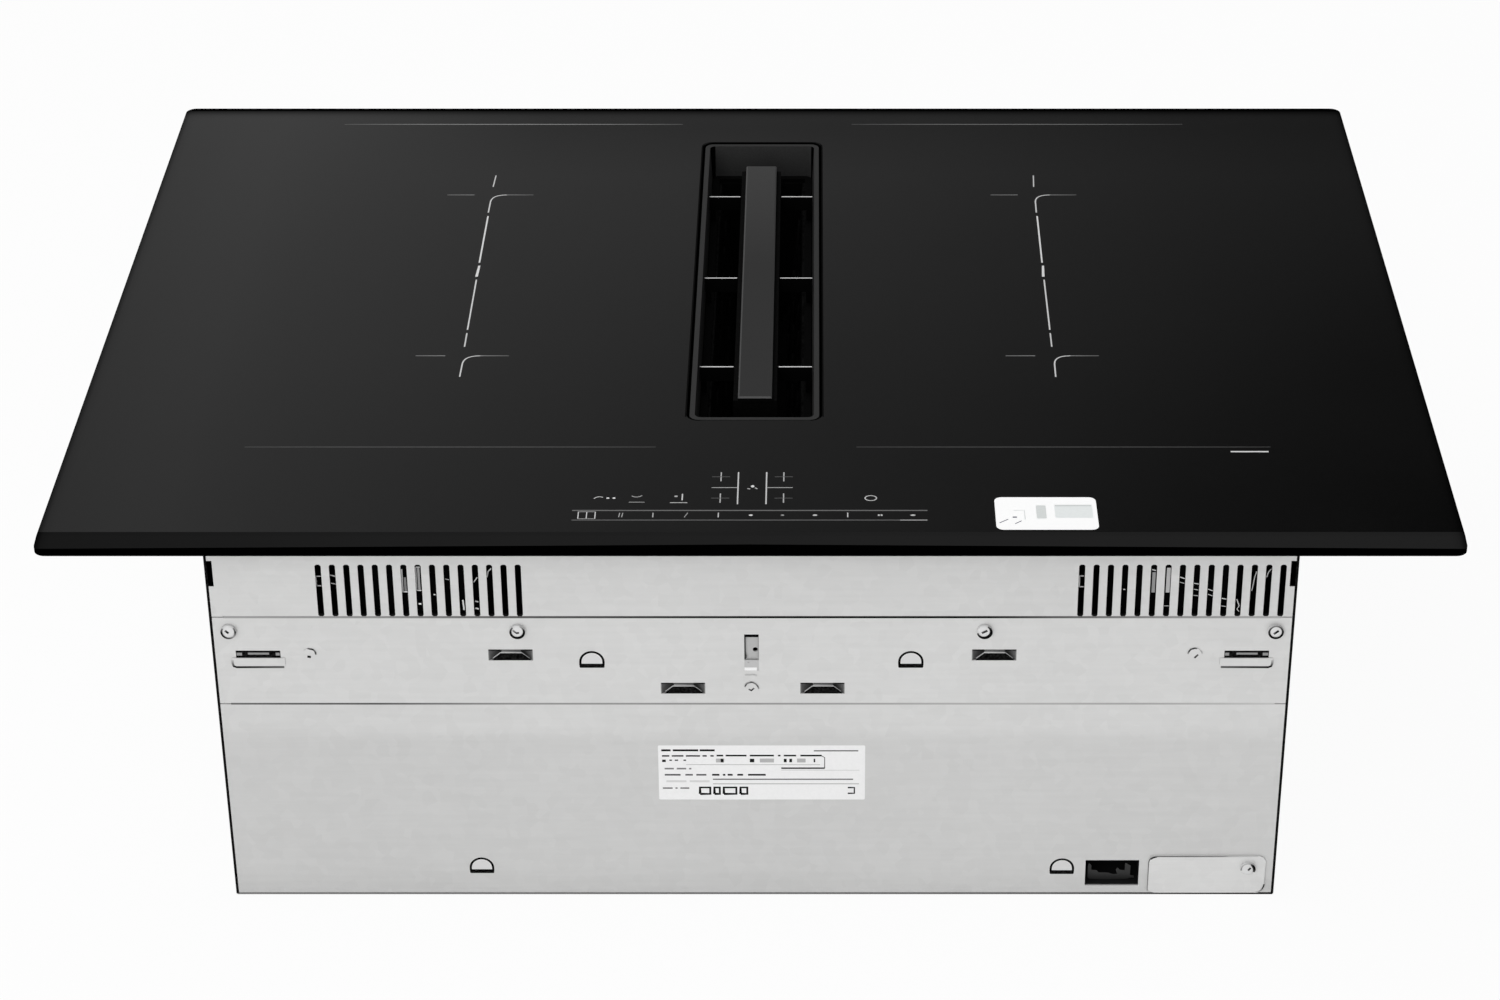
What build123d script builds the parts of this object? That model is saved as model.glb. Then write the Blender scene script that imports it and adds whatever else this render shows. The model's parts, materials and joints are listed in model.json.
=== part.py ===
from build123d import *
import math
import os

# Downdraft induction cooktop, millimetres.
# X runs to the right, Y to the back, Z up. The origin is under the middle of the
# glass, on the plane that the case stands on.

# ---- driving dimensions -------------------------------------------------------

# glass ceramic top
GLASS_W = 710.0
GLASS_D = 522.0
GLASS_T = 4.0
GLASS_CORNER = 6.0
BEVEL_W = 13.0
BEVEL_DROP = 2.0

# worktop seal and glass bond
SEAL_T = 1.0
SEAL_W = 9.0
SEAL_INSET = 3.0
BOND_W = 8.0

# sheet metal case
CASE_W = 550.0
CASE_D = 478.0
CASE_H = 223.0
SHEET = 1.0
TRAY_H = 48.4
TRAY_SEAM = 0.6
FLANGE_W = 14.0
REAR_FLANGE_W = 8.0
UPPER_BAND_H = 52.0
BAND_SEAM = 0.7
LOWER_EDGE_R = 1.0

# air inlet in the glass, measured at the glass
INLET_W = 71.4
INLET_D = 343.0
INLET_Y = 40.0
INLET_CORNER = 6.5
INLET_GAP = 1.6
FRAME_WALL = 2.7
FRAME_DRAFT = 1.2
FRAME_H = 30.0
FRAME_BELOW_TOP = 0.4
FRAME_FLANGE_W = 9.0
FRAME_FLANGE_T = 2.5
LEDGE_W = 3.0
LEDGE_DEPTH = 22.0
LEDGE_T = 2.0

# lift-off grille
BAR_W = 18.0
BAR_L = 285.0
BAR_T = 3.0
BAR_Y = 36.5
BAR_CHAMFER = 0.8
KEEL_W = 23.2
KEEL_H = 12.0
KEEL_SETBACK = 1.5
RIB_COUNT = 3
RIB_PITCH = 105.0
RIB_T = 1.6
RIB_H = 8.5
RIB_BELOW_TOP = 4.0
RIB_NOTCH_H = 2.5
RIB_FOOT_W = 3.0
RIB_SPREAD = 0.5

# filter cartridge
RIM_T = 2.5
RIM_W = 4.0
RIM_CORNER = 4.0
LIFT_CLEARANCE = 0.4
CARTRIDGE_H = 96.0
CARTRIDGE_FOOT_W = 34.0
END_WALL = 2.0
MESH_T = 2.4
TROUGH_H = 7.0
TROUGH_LIP = 2.5
MESH_ROWS = 3
MESH_COLS = 9
MESH_SLOT_H = 17.0
MESH_SLOT_SHARE = 0.62

# air shaft and hood
PLASTIC = 2.0
SHAFT_FLOOR_Z = 48.0
SHAFT_STEP = 1.0
SHAFT_FLANGE_W = 12.0
SHAFT_FLANGE_T = 3.0
WINDOW_SILL = 13.0
WINDOW_HEAD = 10.6
WINDOW_L = 136.0
DRAIN_R = 20.0

# blower
IMPELLER_R = 76.0
IMPELLER_H = 72.0
IMPELLER_EYE_R = 50.0
BLADE_COUNT = 11
BLADE_T = 1.6
BLADE_SWEEP = 46.0
BLADE_FACETS = 4
DISC_T = 2.0
BLOWER_X = -146.0
BLOWER_Y = -62.0
SCROLL_START_R = 87.0
SCROLL_STEP = 10.0
SCROLL_BASE_Z = 8.0
DUCT_W = 222.0
DUCT_H = 89.0
TONGUE_W = 52.0
COLLAR_OUT = 18.0
COLLAR_IN = 40.0
COLLAR_FIT = 0.4
EYE_GAP = 3.0
BELLMOUTH_H = 6.0

# blower motor
MOTOR_FLANGE_R = 30.0
MOTOR_FLANGE_T = 3.0
STATOR_R = 24.0
STATOR_H = 18.0
STATOR_POLES = 6
ROTOR_R = 29.0
ROTOR_WALL = 3.0
ROTOR_GAP = 1.0
TUBE_R = 8.0
SHAFT_R = 4.0
BEARING_T = 5.0
BEARING_W = 3.0
RUNNING_FIT = 0.03

# overflow container
CAN_R = 27.5
CAN_WALL = 1.8
CAN_BASE_R = 33.0
CAN_BASE_T = 4.0
CAN_RECESS = 0.6
CAN_FIT = 0.5
LUG_COUNT = 3
LUG_ARC = 20.0
LUG_OUT = 3.6
LUG_T = 3.0
LUG_Z = 38.0
TWIST = 50.0
CAN_SEAL_T = 1.6
RING_R = 35.0
RING_H = 14.0
GRIP_W = 8.0
GRIP_DEPTH = 3.0

# vents in the tray's front wall
SLOT_W = 3.1
SLOT_H = 30.7
SLOT_DROP = 32.85
SLOT_CORNER = 0.8
SLOT_COUNT = 15
LEFT_SLOTS_X = -167.7
LEFT_SLOT_PITCH = 7.18
RIGHT_SLOTS_X = 216.75
RIGHT_SLOT_PITCH = 7.23
CORNER_NOTCH_W = 3.0
CORNER_NOTCH_H = 15.0
CORNER_NOTCH_DROP = 22.8

# front panel features: bridge lances, D lances, dimples, screws. A drop is a
# distance below the seam under the tray.
LANCE_W = 22.7
LANCE_H = 6.6
LANCE_IN = 6.0
LANCE_LEG = 6.5
MID_LANCES_X = 123.2
MID_LANCES_DROP = 22.5
LOW_LANCES_X = 35.7
LOW_LANCES_DROP = 42.8
OUTER_LANCES_X = 251.8
OUTER_LANCES_DROP = 22.0
OUTER_LANCE_H = 4.3
PAD_W = 27.0
PAD_H = 5.6
PAD_PROUD = 0.5
PAD_CORNER = 2.0
DLANCE_R = 6.2
DLANCE_H = 9.8
DLANCE_SLOT = 2.2
DLANCE_GROOVE = 0.6
DLANCE_DEPTH = 0.7
UPPER_DLANCES_X = (-81.9, 80.8)
UPPER_DLANCES_DROP = 30.2
LOWER_DLANCES = ((-144.0, 14.2), (162.3, 13.6))
DIMPLE_R = 3.2
DIMPLE_PROUD = 0.25
DIMPLES_AND_DROPS = ((-225.5, 21.5), (225.5, 21.5), (-0.3, 42.5))
CENTRE_SLOT_X = -0.4
CENTRE_SLOT_W = 7.4
CENTRE_SLOT_DROP = 10.1
CENTRE_SLOT_H = 21.9
SCREW_HEAD_R = 3.9
SCREW_HEAD_T = 1.9
SCREW_R = 1.75
SCREW_HOLE_R = 2.0
SCREW_L = 8.0
REAR_SCREW_Z = 22.0
REAR_SLOT_COUNT = 10
FRONT_SCREWS_X = (-265.6, -119.1, 118.0, 265.7)
FRONT_SCREWS_DROP = 7.7
LUG_PLATE_W = 14.0
LUG_PLATE_H = 15.0
LUG_MARGIN = 3.0
PIN_HOLE_R = 1.3
PIN_HOLE_X = 1.5
PIN_HOLE_DROP = 19.8

# mains connection at the lower right
SOCKET_X0 = 174.7
SOCKET_X1 = 203.0
SOCKET_Z0 = 6.1
SOCKET_Z1 = 22.5
SOCKET_D = 24.0
SOCKET_WALL = 2.0
PIN_L = 9.0
COVER_X0 = 207.7
COVER_X1 = 269.8
COVER_Z0 = 2.0
COVER_Z1 = 25.7
COVER_CORNER = 4.5
COVER_MARGIN = 3.5
COVER_SCREW_X = 260.3
COVER_SCREW_Z = 18.5
TERMINAL_POLES = 5
TERMINAL_PITCH = 8.5
TERMINAL_H = 15.0
TERMINAL_D = 20.0
CABLE_R = 7.0
GROMMET_WALL = 2.5
GROMMET_LIP = 2.0
CABLE_X = 232.0
CABLE_SETBACK = 60.0

# side clamp holes for the worktop brackets
CLAMP_HOLE_R = 2.1
CLAMP_HOLE_PITCH = 300.0
CLAMP_HOLE_DROP = 27.0

# electronics
BOARD_T = 1.6
STANDOFF_H = 5.0
STANDOFF_R = 3.0
BOARD_W = 196.0
BOARD_L = 330.0
BOARD_Y0 = -118.0
HEAT_SINK_W = 42.0
HEAT_SINK_L = 180.0
HEAT_SINK_H = 22.0
HEAT_SINK_BASE = 4.0
FIN_COUNT = 7
FIN_T = 1.5
CAPACITOR_R = 11.0
CAPACITOR_H = 22.0
CHOKE_W = 28.0
FAN_SIDE = 76.0
FAN_H = 28.0
FAN_WALL = 1.6
FAN_EYE_R = 24.0
FAN_ROTOR_R = 29.0
FAN_ROTOR_H = 20.0
FAN_HUB_R = 13.0
FAN_BLADES = 9
FAN_PIN_R = 2.0
FAN_SETBACK = 4.0
LEFT_FAN_X = LEFT_SLOTS_X
RIGHT_FAN_X = RIGHT_SLOTS_X

# coils
DECK_T = 1.5
MICA_GAP = 3.0
DECK_W = 222.0
DECK_L = 392.0
DECK_LEG_W = 22.0
COIL_W = 208.0
COIL_L = 190.0
COIL_CORNER = 70.0
COIL_HOLE_R = 24.0
CARRIER_T = 5.0
CARRIER_MARGIN = 4.0
WINDING_T = 4.0
MICA_T = 0.5
FERRITE_W = 10.0
FERRITE_T = 3.0
FERRITE_L = 60.0
FERRITES_PER_COIL = 8
FERRITE_RING_R = 30.0
SENSOR_R = 6.0
ZONE_X = 157.0
ZONES_Y = 40.0
ZONE_PITCH = 198.0

# touch control
TOUCH_W = 206.0
TOUCH_D = 56.0
TOUCH_H = 20.0
TOUCH_BOARD_DROP = 3.0
TOUCH_POST_W = 8.0

# fan drive board in the lower case
DRIVE_W = 90.0
DRIVE_D = 120.0
DRIVE_BOX_H = 34.0
DRIVE_X = 190.0
DRIVE_Y = 60.0

# ---- derived places -------------------------------------------------------------

WORKTOP_Z = CASE_H
GLASS_Z0 = WORKTOP_Z + SEAL_T
GLASS_Z1 = GLASS_Z0 + GLASS_T
TRAY_Z0 = CASE_H - TRAY_H
TRAY_FLOOR = TRAY_Z0 + SHEET
SEAM_Z = TRAY_Z0 - TRAY_SEAM
UPPER_BAND_Z0 = SEAM_Z - UPPER_BAND_H
LOWER_BAND_Z1 = UPPER_BAND_Z0 - BAND_SEAM
HALF_W = CASE_W / 2
HALF_D = CASE_D / 2
FRONT = -HALF_D
BACK = HALF_D
INLET_Y0 = INLET_Y - INLET_D / 2
INLET_Y1 = INLET_Y + INLET_D / 2
FRAME_HALF = INLET_W / 2 - INLET_GAP
FRAME_TOP = GLASS_Z1 - FRAME_BELOW_TOP
FRAME_Z0 = FRAME_TOP - FRAME_H
FRAME_INNER = FRAME_HALF - FRAME_WALL
LEDGE_Z = FRAME_TOP - LEDGE_DEPTH
LEDGE_INNER = FRAME_INNER - FRAME_DRAFT
BAR_TOP = GLASS_Z1
RIB_TOP = GLASS_Z1 - RIB_BELOW_TOP
RIB_YS = [INLET_Y + RIB_PITCH * (i - (RIB_COUNT - 1) / 2) for i in range(RIB_COUNT)]
RIM_Z0 = LEDGE_Z + LIFT_CLEARANCE
RIM_HALF = LEDGE_INNER - LIFT_CLEARANCE
CARTRIDGE_Z0 = RIM_Z0 - CARTRIDGE_H
SHAFT_HALF = FRAME_HALF + SHAFT_STEP
SHAFT_Z1 = FRAME_Z0
DRUM_TOP = SCROLL_BASE_Z + DUCT_H
WINDOW_Z0 = DRUM_TOP + WINDOW_SILL
WINDOW_Z1 = TRAY_Z0 - WINDOW_HEAD
SLOT_Z = CASE_H - SLOT_DROP
CORNER_NOTCH_Z = CASE_H - CORNER_NOTCH_DROP
CLAMP_HOLE_Z = CASE_H - CLAMP_HOLE_DROP
MID_LANCES_Z = SEAM_Z - MID_LANCES_DROP
LOW_LANCES_Z = SEAM_Z - LOW_LANCES_DROP
OUTER_LANCES_Z = SEAM_Z - OUTER_LANCES_DROP
UPPER_DLANCES = [(x, SEAM_Z - UPPER_DLANCES_DROP) for x in UPPER_DLANCES_X]
DIMPLES = [(x, SEAM_Z - drop) for x, drop in DIMPLES_AND_DROPS]
FRONT_SCREWS_Z = SEAM_Z - FRONT_SCREWS_DROP
CENTRE_SLOT_Z1 = SEAM_Z - CENTRE_SLOT_DROP
CENTRE_SLOT_Z0 = CENTRE_SLOT_Z1 - CENTRE_SLOT_H
BOARD_Z0 = TRAY_FLOOR + STANDOFF_H
BOARD_Z1 = BOARD_Z0 + BOARD_T
MICA_Z0 = GLASS_Z0 - MICA_GAP - MICA_T
WINDING_Z0 = MICA_Z0 - WINDING_T
CARRIER_Z0 = WINDING_Z0 - CARRIER_T
DECK_Z = CARRIER_Z0 - DECK_T
NODES = {}


# ---- helpers -----------------------------------------------------------------------

def block(x0, x1, y0, y1, z0, z1):
    """A box between six limits."""
    size = (x1 - x0, y1 - y0, z1 - z0)
    return Pos((x0 + x1) / 2, (y0 + y1) / 2, (z0 + z1) / 2) * Box(*size)


def disc(x, y, radius, z0, z1):
    """An upright cylinder between two heights."""
    return Pos(x, y, (z0 + z1) / 2) * Cylinder(radius, z1 - z0)


def ring(x, y, outer, inner, z0, z1):
    """An upright tube between two heights."""
    return disc(x, y, outer, z0, z1) - disc(x, y, inner, z0, z1)


def front_disc(x, z, radius, y0, y1):
    """A cylinder along Y between two depths."""
    return Pos(x, (y0 + y1) / 2, z) * Rot(90, 0, 0) * Cylinder(radius, y1 - y0)


def rounded(half, y0, y1, corner, z0, z1):
    """A plate with round corners, centred across X."""
    sketch = Pos(0, (y0 + y1) / 2) * RectangleRounded(2 * half, y1 - y0, corner)
    return extrude(Pos(0, 0, z0) * sketch, z1 - z0)


def group(solids):
    """Separate solids that share one node."""
    return Compound(children=list(solids))


def node(name, shape):
    """Keeps a finished shape under its node's name."""
    NODES[name] = shape


# ---- glass, seal and inlet frame ------------------------------------------------------

def glass_plate():
    half_w, half_d = GLASS_W / 2, GLASS_D / 2
    plate = rounded(half_w, -half_d, half_d, GLASS_CORNER, GLASS_Z0, GLASS_Z1)
    wedge = Polyline(
        (-half_d, GLASS_Z1 - BEVEL_DROP),
        (-half_d + BEVEL_W, GLASS_Z1),
        (-half_d, GLASS_Z1),
        close=True,
    )
    bevel = extrude(Plane.YZ.offset(-half_w) * make_face(wedge), GLASS_W)
    inlet = rounded(INLET_W / 2, INLET_Y0, INLET_Y1, INLET_CORNER, GLASS_Z0, GLASS_Z1)
    return plate - bevel - inlet


def band(half_w, half_d, width, z0, z1):
    """A flat rectangular ring of one width."""
    outer = block(-half_w, half_w, -half_d, half_d, z0, z1)
    inner_w, inner_d = half_w - width, half_d - width
    return outer - block(-inner_w, inner_w, -inner_d, inner_d, z0, z1)


def worktop_seal():
    half_w, half_d = GLASS_W / 2 - SEAL_INSET, GLASS_D / 2 - SEAL_INSET
    return band(half_w, half_d, SEAL_W, WORKTOP_Z, GLASS_Z0)


def inlet_frame():
    """A drafted wall with a flange under the glass and a ledge for the cartridge."""
    gap = INLET_GAP
    corner = INLET_CORNER - gap
    y0, y1 = INLET_Y0 + gap, INLET_Y1 - gap
    wall = rounded(FRAME_HALF, y0, y1, corner, FRAME_Z0, FRAME_TOP)
    flange = rounded(
        INLET_W / 2 + FRAME_FLANGE_W,
        INLET_Y0 - FRAME_FLANGE_W,
        INLET_Y1 + FRAME_FLANGE_W,
        INLET_CORNER + FRAME_FLANGE_W,
        GLASS_Z0 - FRAME_FLANGE_T,
        GLASS_Z0,
    )
    mouth = RectangleRounded(
        2 * FRAME_INNER, y1 - y0 - 2 * FRAME_WALL, corner - FRAME_WALL / 2
    )
    depth = FRAME_TOP - LEDGE_Z
    taper = math.degrees(math.atan2(FRAME_DRAFT, depth))
    top = Pos(0, INLET_Y, FRAME_TOP) * mouth
    throat = extrude(top, -depth, taper=taper)
    drop = LEDGE_INNER - LEDGE_W
    inset = FRAME_WALL + FRAME_DRAFT + LEDGE_W
    through = block(-drop, drop, y0 + inset, y1 - inset, FRAME_Z0, LEDGE_Z)
    relief_half = LEDGE_INNER
    relief_inset = FRAME_WALL + FRAME_DRAFT
    relief = block(
        -relief_half,
        relief_half,
        y0 + relief_inset,
        y1 - relief_inset,
        FRAME_Z0,
        LEDGE_Z - LEDGE_T,
    )
    return wall + flange - throat - through - relief


def glass_bond():
    """The silicone bead that glues the tray's rim to the glass."""
    return band(HALF_W, HALF_D, BOND_W, GLASS_Z0 - SEAL_T, GLASS_Z0)


# ---- grille ---------------------------------------------------------------------------

def cross_ribs():
    foot_half = RIM_HALF
    half = RIM_HALF + RIB_SPREAD
    low = RIB_TOP - RIB_H
    foot_z = RIM_Z0 + RIM_T + LIFT_CLEARANCE
    ribs = []
    for y in RIB_YS:
        y0, y1 = y - RIB_T / 2, y + RIB_T / 2
        strip = block(-half, half, y0, y1, low, RIB_TOP)
        for side in (-1, 1):
            x0, x1 = sorted((side * (foot_half - RIB_FOOT_W), side * foot_half))
            strip += block(x0, x1, y0, y1, foot_z, low)
        under_keel = BAR_TOP - BAR_T - RIB_NOTCH_H
        strip -= block(-KEEL_W / 2, KEEL_W / 2, y0, y1, under_keel, RIB_TOP)
        ribs.append(strip)
    return group(ribs)


def grille_bar():
    y0, y1 = BAR_Y - BAR_L / 2, BAR_Y + BAR_L / 2
    bar = block(-BAR_W / 2, BAR_W / 2, y0, y1, BAR_TOP - BAR_T, BAR_TOP)
    top_edges = bar.faces().sort_by(Axis.Z)[-1].edges()
    return chamfer(top_edges, BAR_CHAMFER)


def grille_keel(ribs):
    half_l = BAR_L / 2 - KEEL_SETBACK
    z1 = BAR_TOP - BAR_T
    keel = block(
        -KEEL_W / 2, KEEL_W / 2, BAR_Y - half_l, BAR_Y + half_l, z1 - KEEL_H, z1
    )
    return keel - ribs


# ---- filter cartridge --------------------------------------------------------------------

def cartridge_limits():
    inset = INLET_GAP + FRAME_WALL + FRAME_DRAFT + LIFT_CLEARANCE
    return INLET_Y0 + inset, INLET_Y1 - inset


def cartridge_frame():
    """Rim, sloping end walls and a drip trough, open at both long sides."""
    y0, y1 = cartridge_limits()
    rim = rounded(RIM_HALF, y0, y1, RIM_CORNER, RIM_Z0, RIM_Z0 + RIM_T)
    mouth = RIM_HALF - RIM_W
    rim -= block(-mouth, mouth, y0 + RIM_W, y1 - RIM_W, RIM_Z0, RIM_Z0 + RIM_T)
    body_half = LEDGE_INNER - LEDGE_W - LIFT_CLEARANCE
    foot_half = CARTRIDGE_FOOT_W / 2
    body_y0 = y0 + LEDGE_W
    body_y1 = y1 - LEDGE_W
    frame = rim
    outline = Polyline(
        (-body_half, RIM_Z0),
        (body_half, RIM_Z0),
        (foot_half, CARTRIDGE_Z0),
        (-foot_half, CARTRIDGE_Z0),
        close=True,
    )
    for wall_y in (body_y0 + END_WALL, body_y1):
        frame += extrude(Plane.XZ.offset(-wall_y) * make_face(outline), END_WALL)
    trough = block(
        -foot_half, foot_half, body_y0, body_y1, CARTRIDGE_Z0, CARTRIDGE_Z0 + TROUGH_H
    )
    channel = foot_half - MESH_T - TROUGH_LIP
    trough -= block(
        -channel,
        channel,
        body_y0 + END_WALL,
        body_y1 - END_WALL,
        CARTRIDGE_Z0 + END_WALL,
        CARTRIDGE_Z0 + TROUGH_H,
    )
    return frame + trough


def mesh_panel(side):
    """One sloping grease filter panel, pierced by staggered slots."""
    y0, y1 = cartridge_limits()
    y0 += LEDGE_W + END_WALL
    y1 -= LEDGE_W + END_WALL
    body_half = LEDGE_INNER - LEDGE_W - LIFT_CLEARANCE
    foot_half = CARTRIDGE_FOOT_W / 2
    foot_z = CARTRIDGE_Z0 + TROUGH_H
    outline = Polyline(
        (side * body_half, RIM_Z0),
        (side * (body_half - MESH_T), RIM_Z0),
        (side * (foot_half - MESH_T), foot_z),
        (side * foot_half, foot_z),
        close=True,
    )
    panel = extrude(Plane.XZ.offset(-y1) * make_face(outline), y1 - y0)
    height = RIM_Z0 - foot_z
    pitch_z = height / MESH_ROWS
    pitch_y = (y1 - y0) / MESH_COLS
    slot_l = pitch_y * MESH_SLOT_SHARE
    slots = []
    for row in range(MESH_ROWS):
        z = foot_z + pitch_z * (row + 0.5)
        shift = pitch_y / 4 * (-1) ** row
        for col in range(MESH_COLS):
            y = y0 + pitch_y * (col + 0.5) + shift / 2
            slots.append(Pos(side * body_half, y, z) * Box(body_half, slot_l, MESH_SLOT_H))
    return panel - slots


# ---- air shaft, hood and blower -----------------------------------------------------------

def drain_ring():
    """The bayonet socket under the shaft's floor."""
    z0, z1 = SHAFT_FLOOR_Z - RING_H, SHAFT_FLOOR_Z
    socket = ring(0, INLET_Y, RING_R, CAN_R + CAN_FIT, z0, z1)
    groove_r = CAN_R + LUG_OUT + CAN_FIT
    groove = ring(
        0,
        INLET_Y,
        groove_r,
        CAN_R,
        LUG_Z - CAN_FIT,
        LUG_Z + LUG_T + CAN_FIT,
    )
    ways = []
    for i in range(LUG_COUNT):
        start = i * 360 / LUG_COUNT
        ways.append(pie(groove_r, start - LUG_ARC * 0.65, TWIST + LUG_ARC * 1.3) & groove)
        entry = pie(groove_r, start + TWIST - LUG_ARC * 0.65, LUG_ARC * 1.3)
        ways.append(entry & ring(0, INLET_Y, groove_r, CAN_R, z0, LUG_Z + LUG_T))
    return socket - ways


def pie(radius, start, arc):
    """A sector of the drain's axis, from one angle over an arc, full shaft height."""
    z0 = 0.0
    wedge = Cylinder(radius, SHAFT_FLOOR_Z, rotation=(0, 0, 0), arc_size=arc)
    return Pos(0, INLET_Y, z0 + SHAFT_FLOOR_Z / 2) * Rot(0, 0, start) * wedge


def air_shaft():
    gap = INLET_GAP - 1.0
    y0, y1 = INLET_Y0 + gap, INLET_Y1 - gap
    floor_z0 = SHAFT_FLOOR_Z
    shaft = block(-SHAFT_HALF, SHAFT_HALF, y0, y1, floor_z0, SHAFT_Z1)
    flange_z1 = TRAY_Z0
    shaft += block(
        -SHAFT_HALF - SHAFT_FLANGE_W,
        SHAFT_HALF + SHAFT_FLANGE_W,
        y0 - SHAFT_FLANGE_W,
        y1 + SHAFT_FLANGE_W,
        flange_z1 - SHAFT_FLANGE_T,
        flange_z1,
    )
    inner = SHAFT_HALF - PLASTIC
    shaft -= block(
        -inner, inner, y0 + PLASTIC, y1 - PLASTIC, floor_z0 + PLASTIC, SHAFT_Z1
    )
    shaft -= block(
        -SHAFT_HALF - 1,
        -inner,
        BLOWER_Y - WINDOW_L / 2 + PLASTIC,
        BLOWER_Y + WINDOW_L / 2 - PLASTIC,
        WINDOW_Z0,
        WINDOW_Z1,
    ) & block(-SHAFT_HALF - 1, 0, y0 + PLASTIC, y1, 0, CASE_H)
    shaft -= disc(0, INLET_Y, DRAIN_R, floor_z0, floor_z0 + PLASTIC)
    return shaft + drain_ring()


def intake_hood():
    """A low box over the blower's eye, open towards the shaft's window."""
    x0 = BLOWER_X - SCROLL_START_R
    x1 = -SHAFT_HALF
    y0, y1 = BLOWER_Y - WINDOW_L / 2, BLOWER_Y + WINDOW_L / 2
    z0, z1 = DRUM_TOP, TRAY_Z0 - SHAFT_FLANGE_T
    hood = block(x0, x1, y0, y1, z0, z1)
    hollow = block(
        x0 + PLASTIC, x1, y0 + PLASTIC, y1 - PLASTIC, z0 + PLASTIC, z1 - PLASTIC
    )
    far_edges = hood.edges().filter_by(Axis.Z).group_by(Axis.X)[0]
    eye = disc(BLOWER_X, BLOWER_Y, IMPELLER_EYE_R - EYE_GAP, z0, z0 + PLASTIC)
    return fillet(far_edges, SCROLL_STEP) - hollow - eye


def scroll_outline(grow):
    """The scroll and diffuser in plan, with the wall grown outwards by a distance."""
    step = SCROLL_STEP
    first_x = BLOWER_X + step / 2
    first_y = BLOWER_Y - step / 2
    r1 = SCROLL_START_R + grow
    r2 = r1 + step
    r3 = r2 + step
    c1 = (first_x, first_y)
    c2 = (first_x - step, first_y)
    c3 = (first_x - step, first_y + step)
    left_x = c3[0] - r3
    right_x = left_x + 2 * grow + DUCT_W - 2 * PLASTIC
    mouth_y = BACK - SHEET - COLLAR_IN
    top = (c1[0], c1[1] + r1)
    tongue = (top[0] - TONGUE_W, top[1])
    edges = [
        CenterArc(c1, r1, 0, 90),
        CenterArc(c2, r2, -90, 90),
        CenterArc(c3, r3, 180, 90),
        Line((left_x, c3[1]), (left_x, mouth_y)),
        Line((left_x, mouth_y), (right_x, mouth_y)),
        Line(top, tongue),
        Spline(tongue, (right_x, mouth_y), tangents=((0.35, 1), (0.25, 1))),
    ]
    return make_face(edges)


def duct_middle():
    """The outlet duct's middle across X."""
    left_x = BLOWER_X - SCROLL_STEP / 2 - SCROLL_START_R - 2 * SCROLL_STEP
    return left_x + DUCT_W / 2 - PLASTIC


def blower_housing():
    """The lower half: floor and spiral wall."""
    z0, z1 = SCROLL_BASE_Z, DRUM_TOP - PLASTIC
    outer = extrude(Pos(0, 0, z0) * scroll_outline(PLASTIC), z1 - z0)
    inner = extrude(Pos(0, 0, z0 + PLASTIC) * scroll_outline(0), z1 - z0)
    mouth_y = BACK - SHEET - COLLAR_IN
    middle, half = duct_middle(), DUCT_W / 2 - PLASTIC
    mouth = block(middle - half, middle + half, mouth_y - PLASTIC, mouth_y, z0 + PLASTIC, z1)
    motor_seat = disc(BLOWER_X, BLOWER_Y, MOTOR_FLANGE_R, z0, z0 + PLASTIC)
    feet = []
    foot_x = (duct_middle() - DUCT_W / 3, duct_middle() + DUCT_W / 4)
    foot_y = (BLOWER_Y - SCROLL_START_R / 2, BACK - COLLAR_IN - SCREW_L)
    for x in foot_x:
        for y in foot_y:
            half = SCREW_HEAD_R
            feet.append(block(x - half, x + half, y - half, y + half, SHEET, z0))
    return outer - inner - mouth - motor_seat + feet


def blower_cover():
    """The lid of the scroll, with the bell mouth round the eye."""
    z0, z1 = DRUM_TOP - PLASTIC, DRUM_TOP
    lid = extrude(Pos(0, 0, z0) * scroll_outline(PLASTIC), PLASTIC)
    eye = disc(BLOWER_X, BLOWER_Y, IMPELLER_EYE_R - EYE_GAP, z0 - BELLMOUTH_H, z1)
    outer_r = IMPELLER_EYE_R - EYE_GAP + PLASTIC
    lid += disc(BLOWER_X, BLOWER_Y, outer_r, z0 - BELLMOUTH_H, z0)
    return lid - eye


def outlet_collar():
    """The flat duct spigot through the rear panel."""
    y0, y1 = BACK - SHEET - COLLAR_IN, BACK + COLLAR_OUT
    middle, half = duct_middle(), DUCT_W / 2
    z0, z1 = SCROLL_BASE_Z, SCROLL_BASE_Z + DUCT_H
    tube = block(middle - half, middle + half, y0, y1, z0, z1)
    corner_edges = tube.edges().filter_by(Axis.Y)
    tube = fillet(corner_edges, PLASTIC)
    inner = block(
        middle - half + PLASTIC,
        middle + half - PLASTIC,
        y0,
        y1,
        z0 + PLASTIC,
        z1 - PLASTIC,
    )
    rim_y = BACK - SHEET - PLASTIC
    rim = block(
        middle - half - 2 * PLASTIC,
        middle + half + 2 * PLASTIC,
        rim_y,
        BACK - SHEET,
        z0 - 2 * PLASTIC,
        z1 + 2 * PLASTIC,
    )
    return tube + rim - inner


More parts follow.
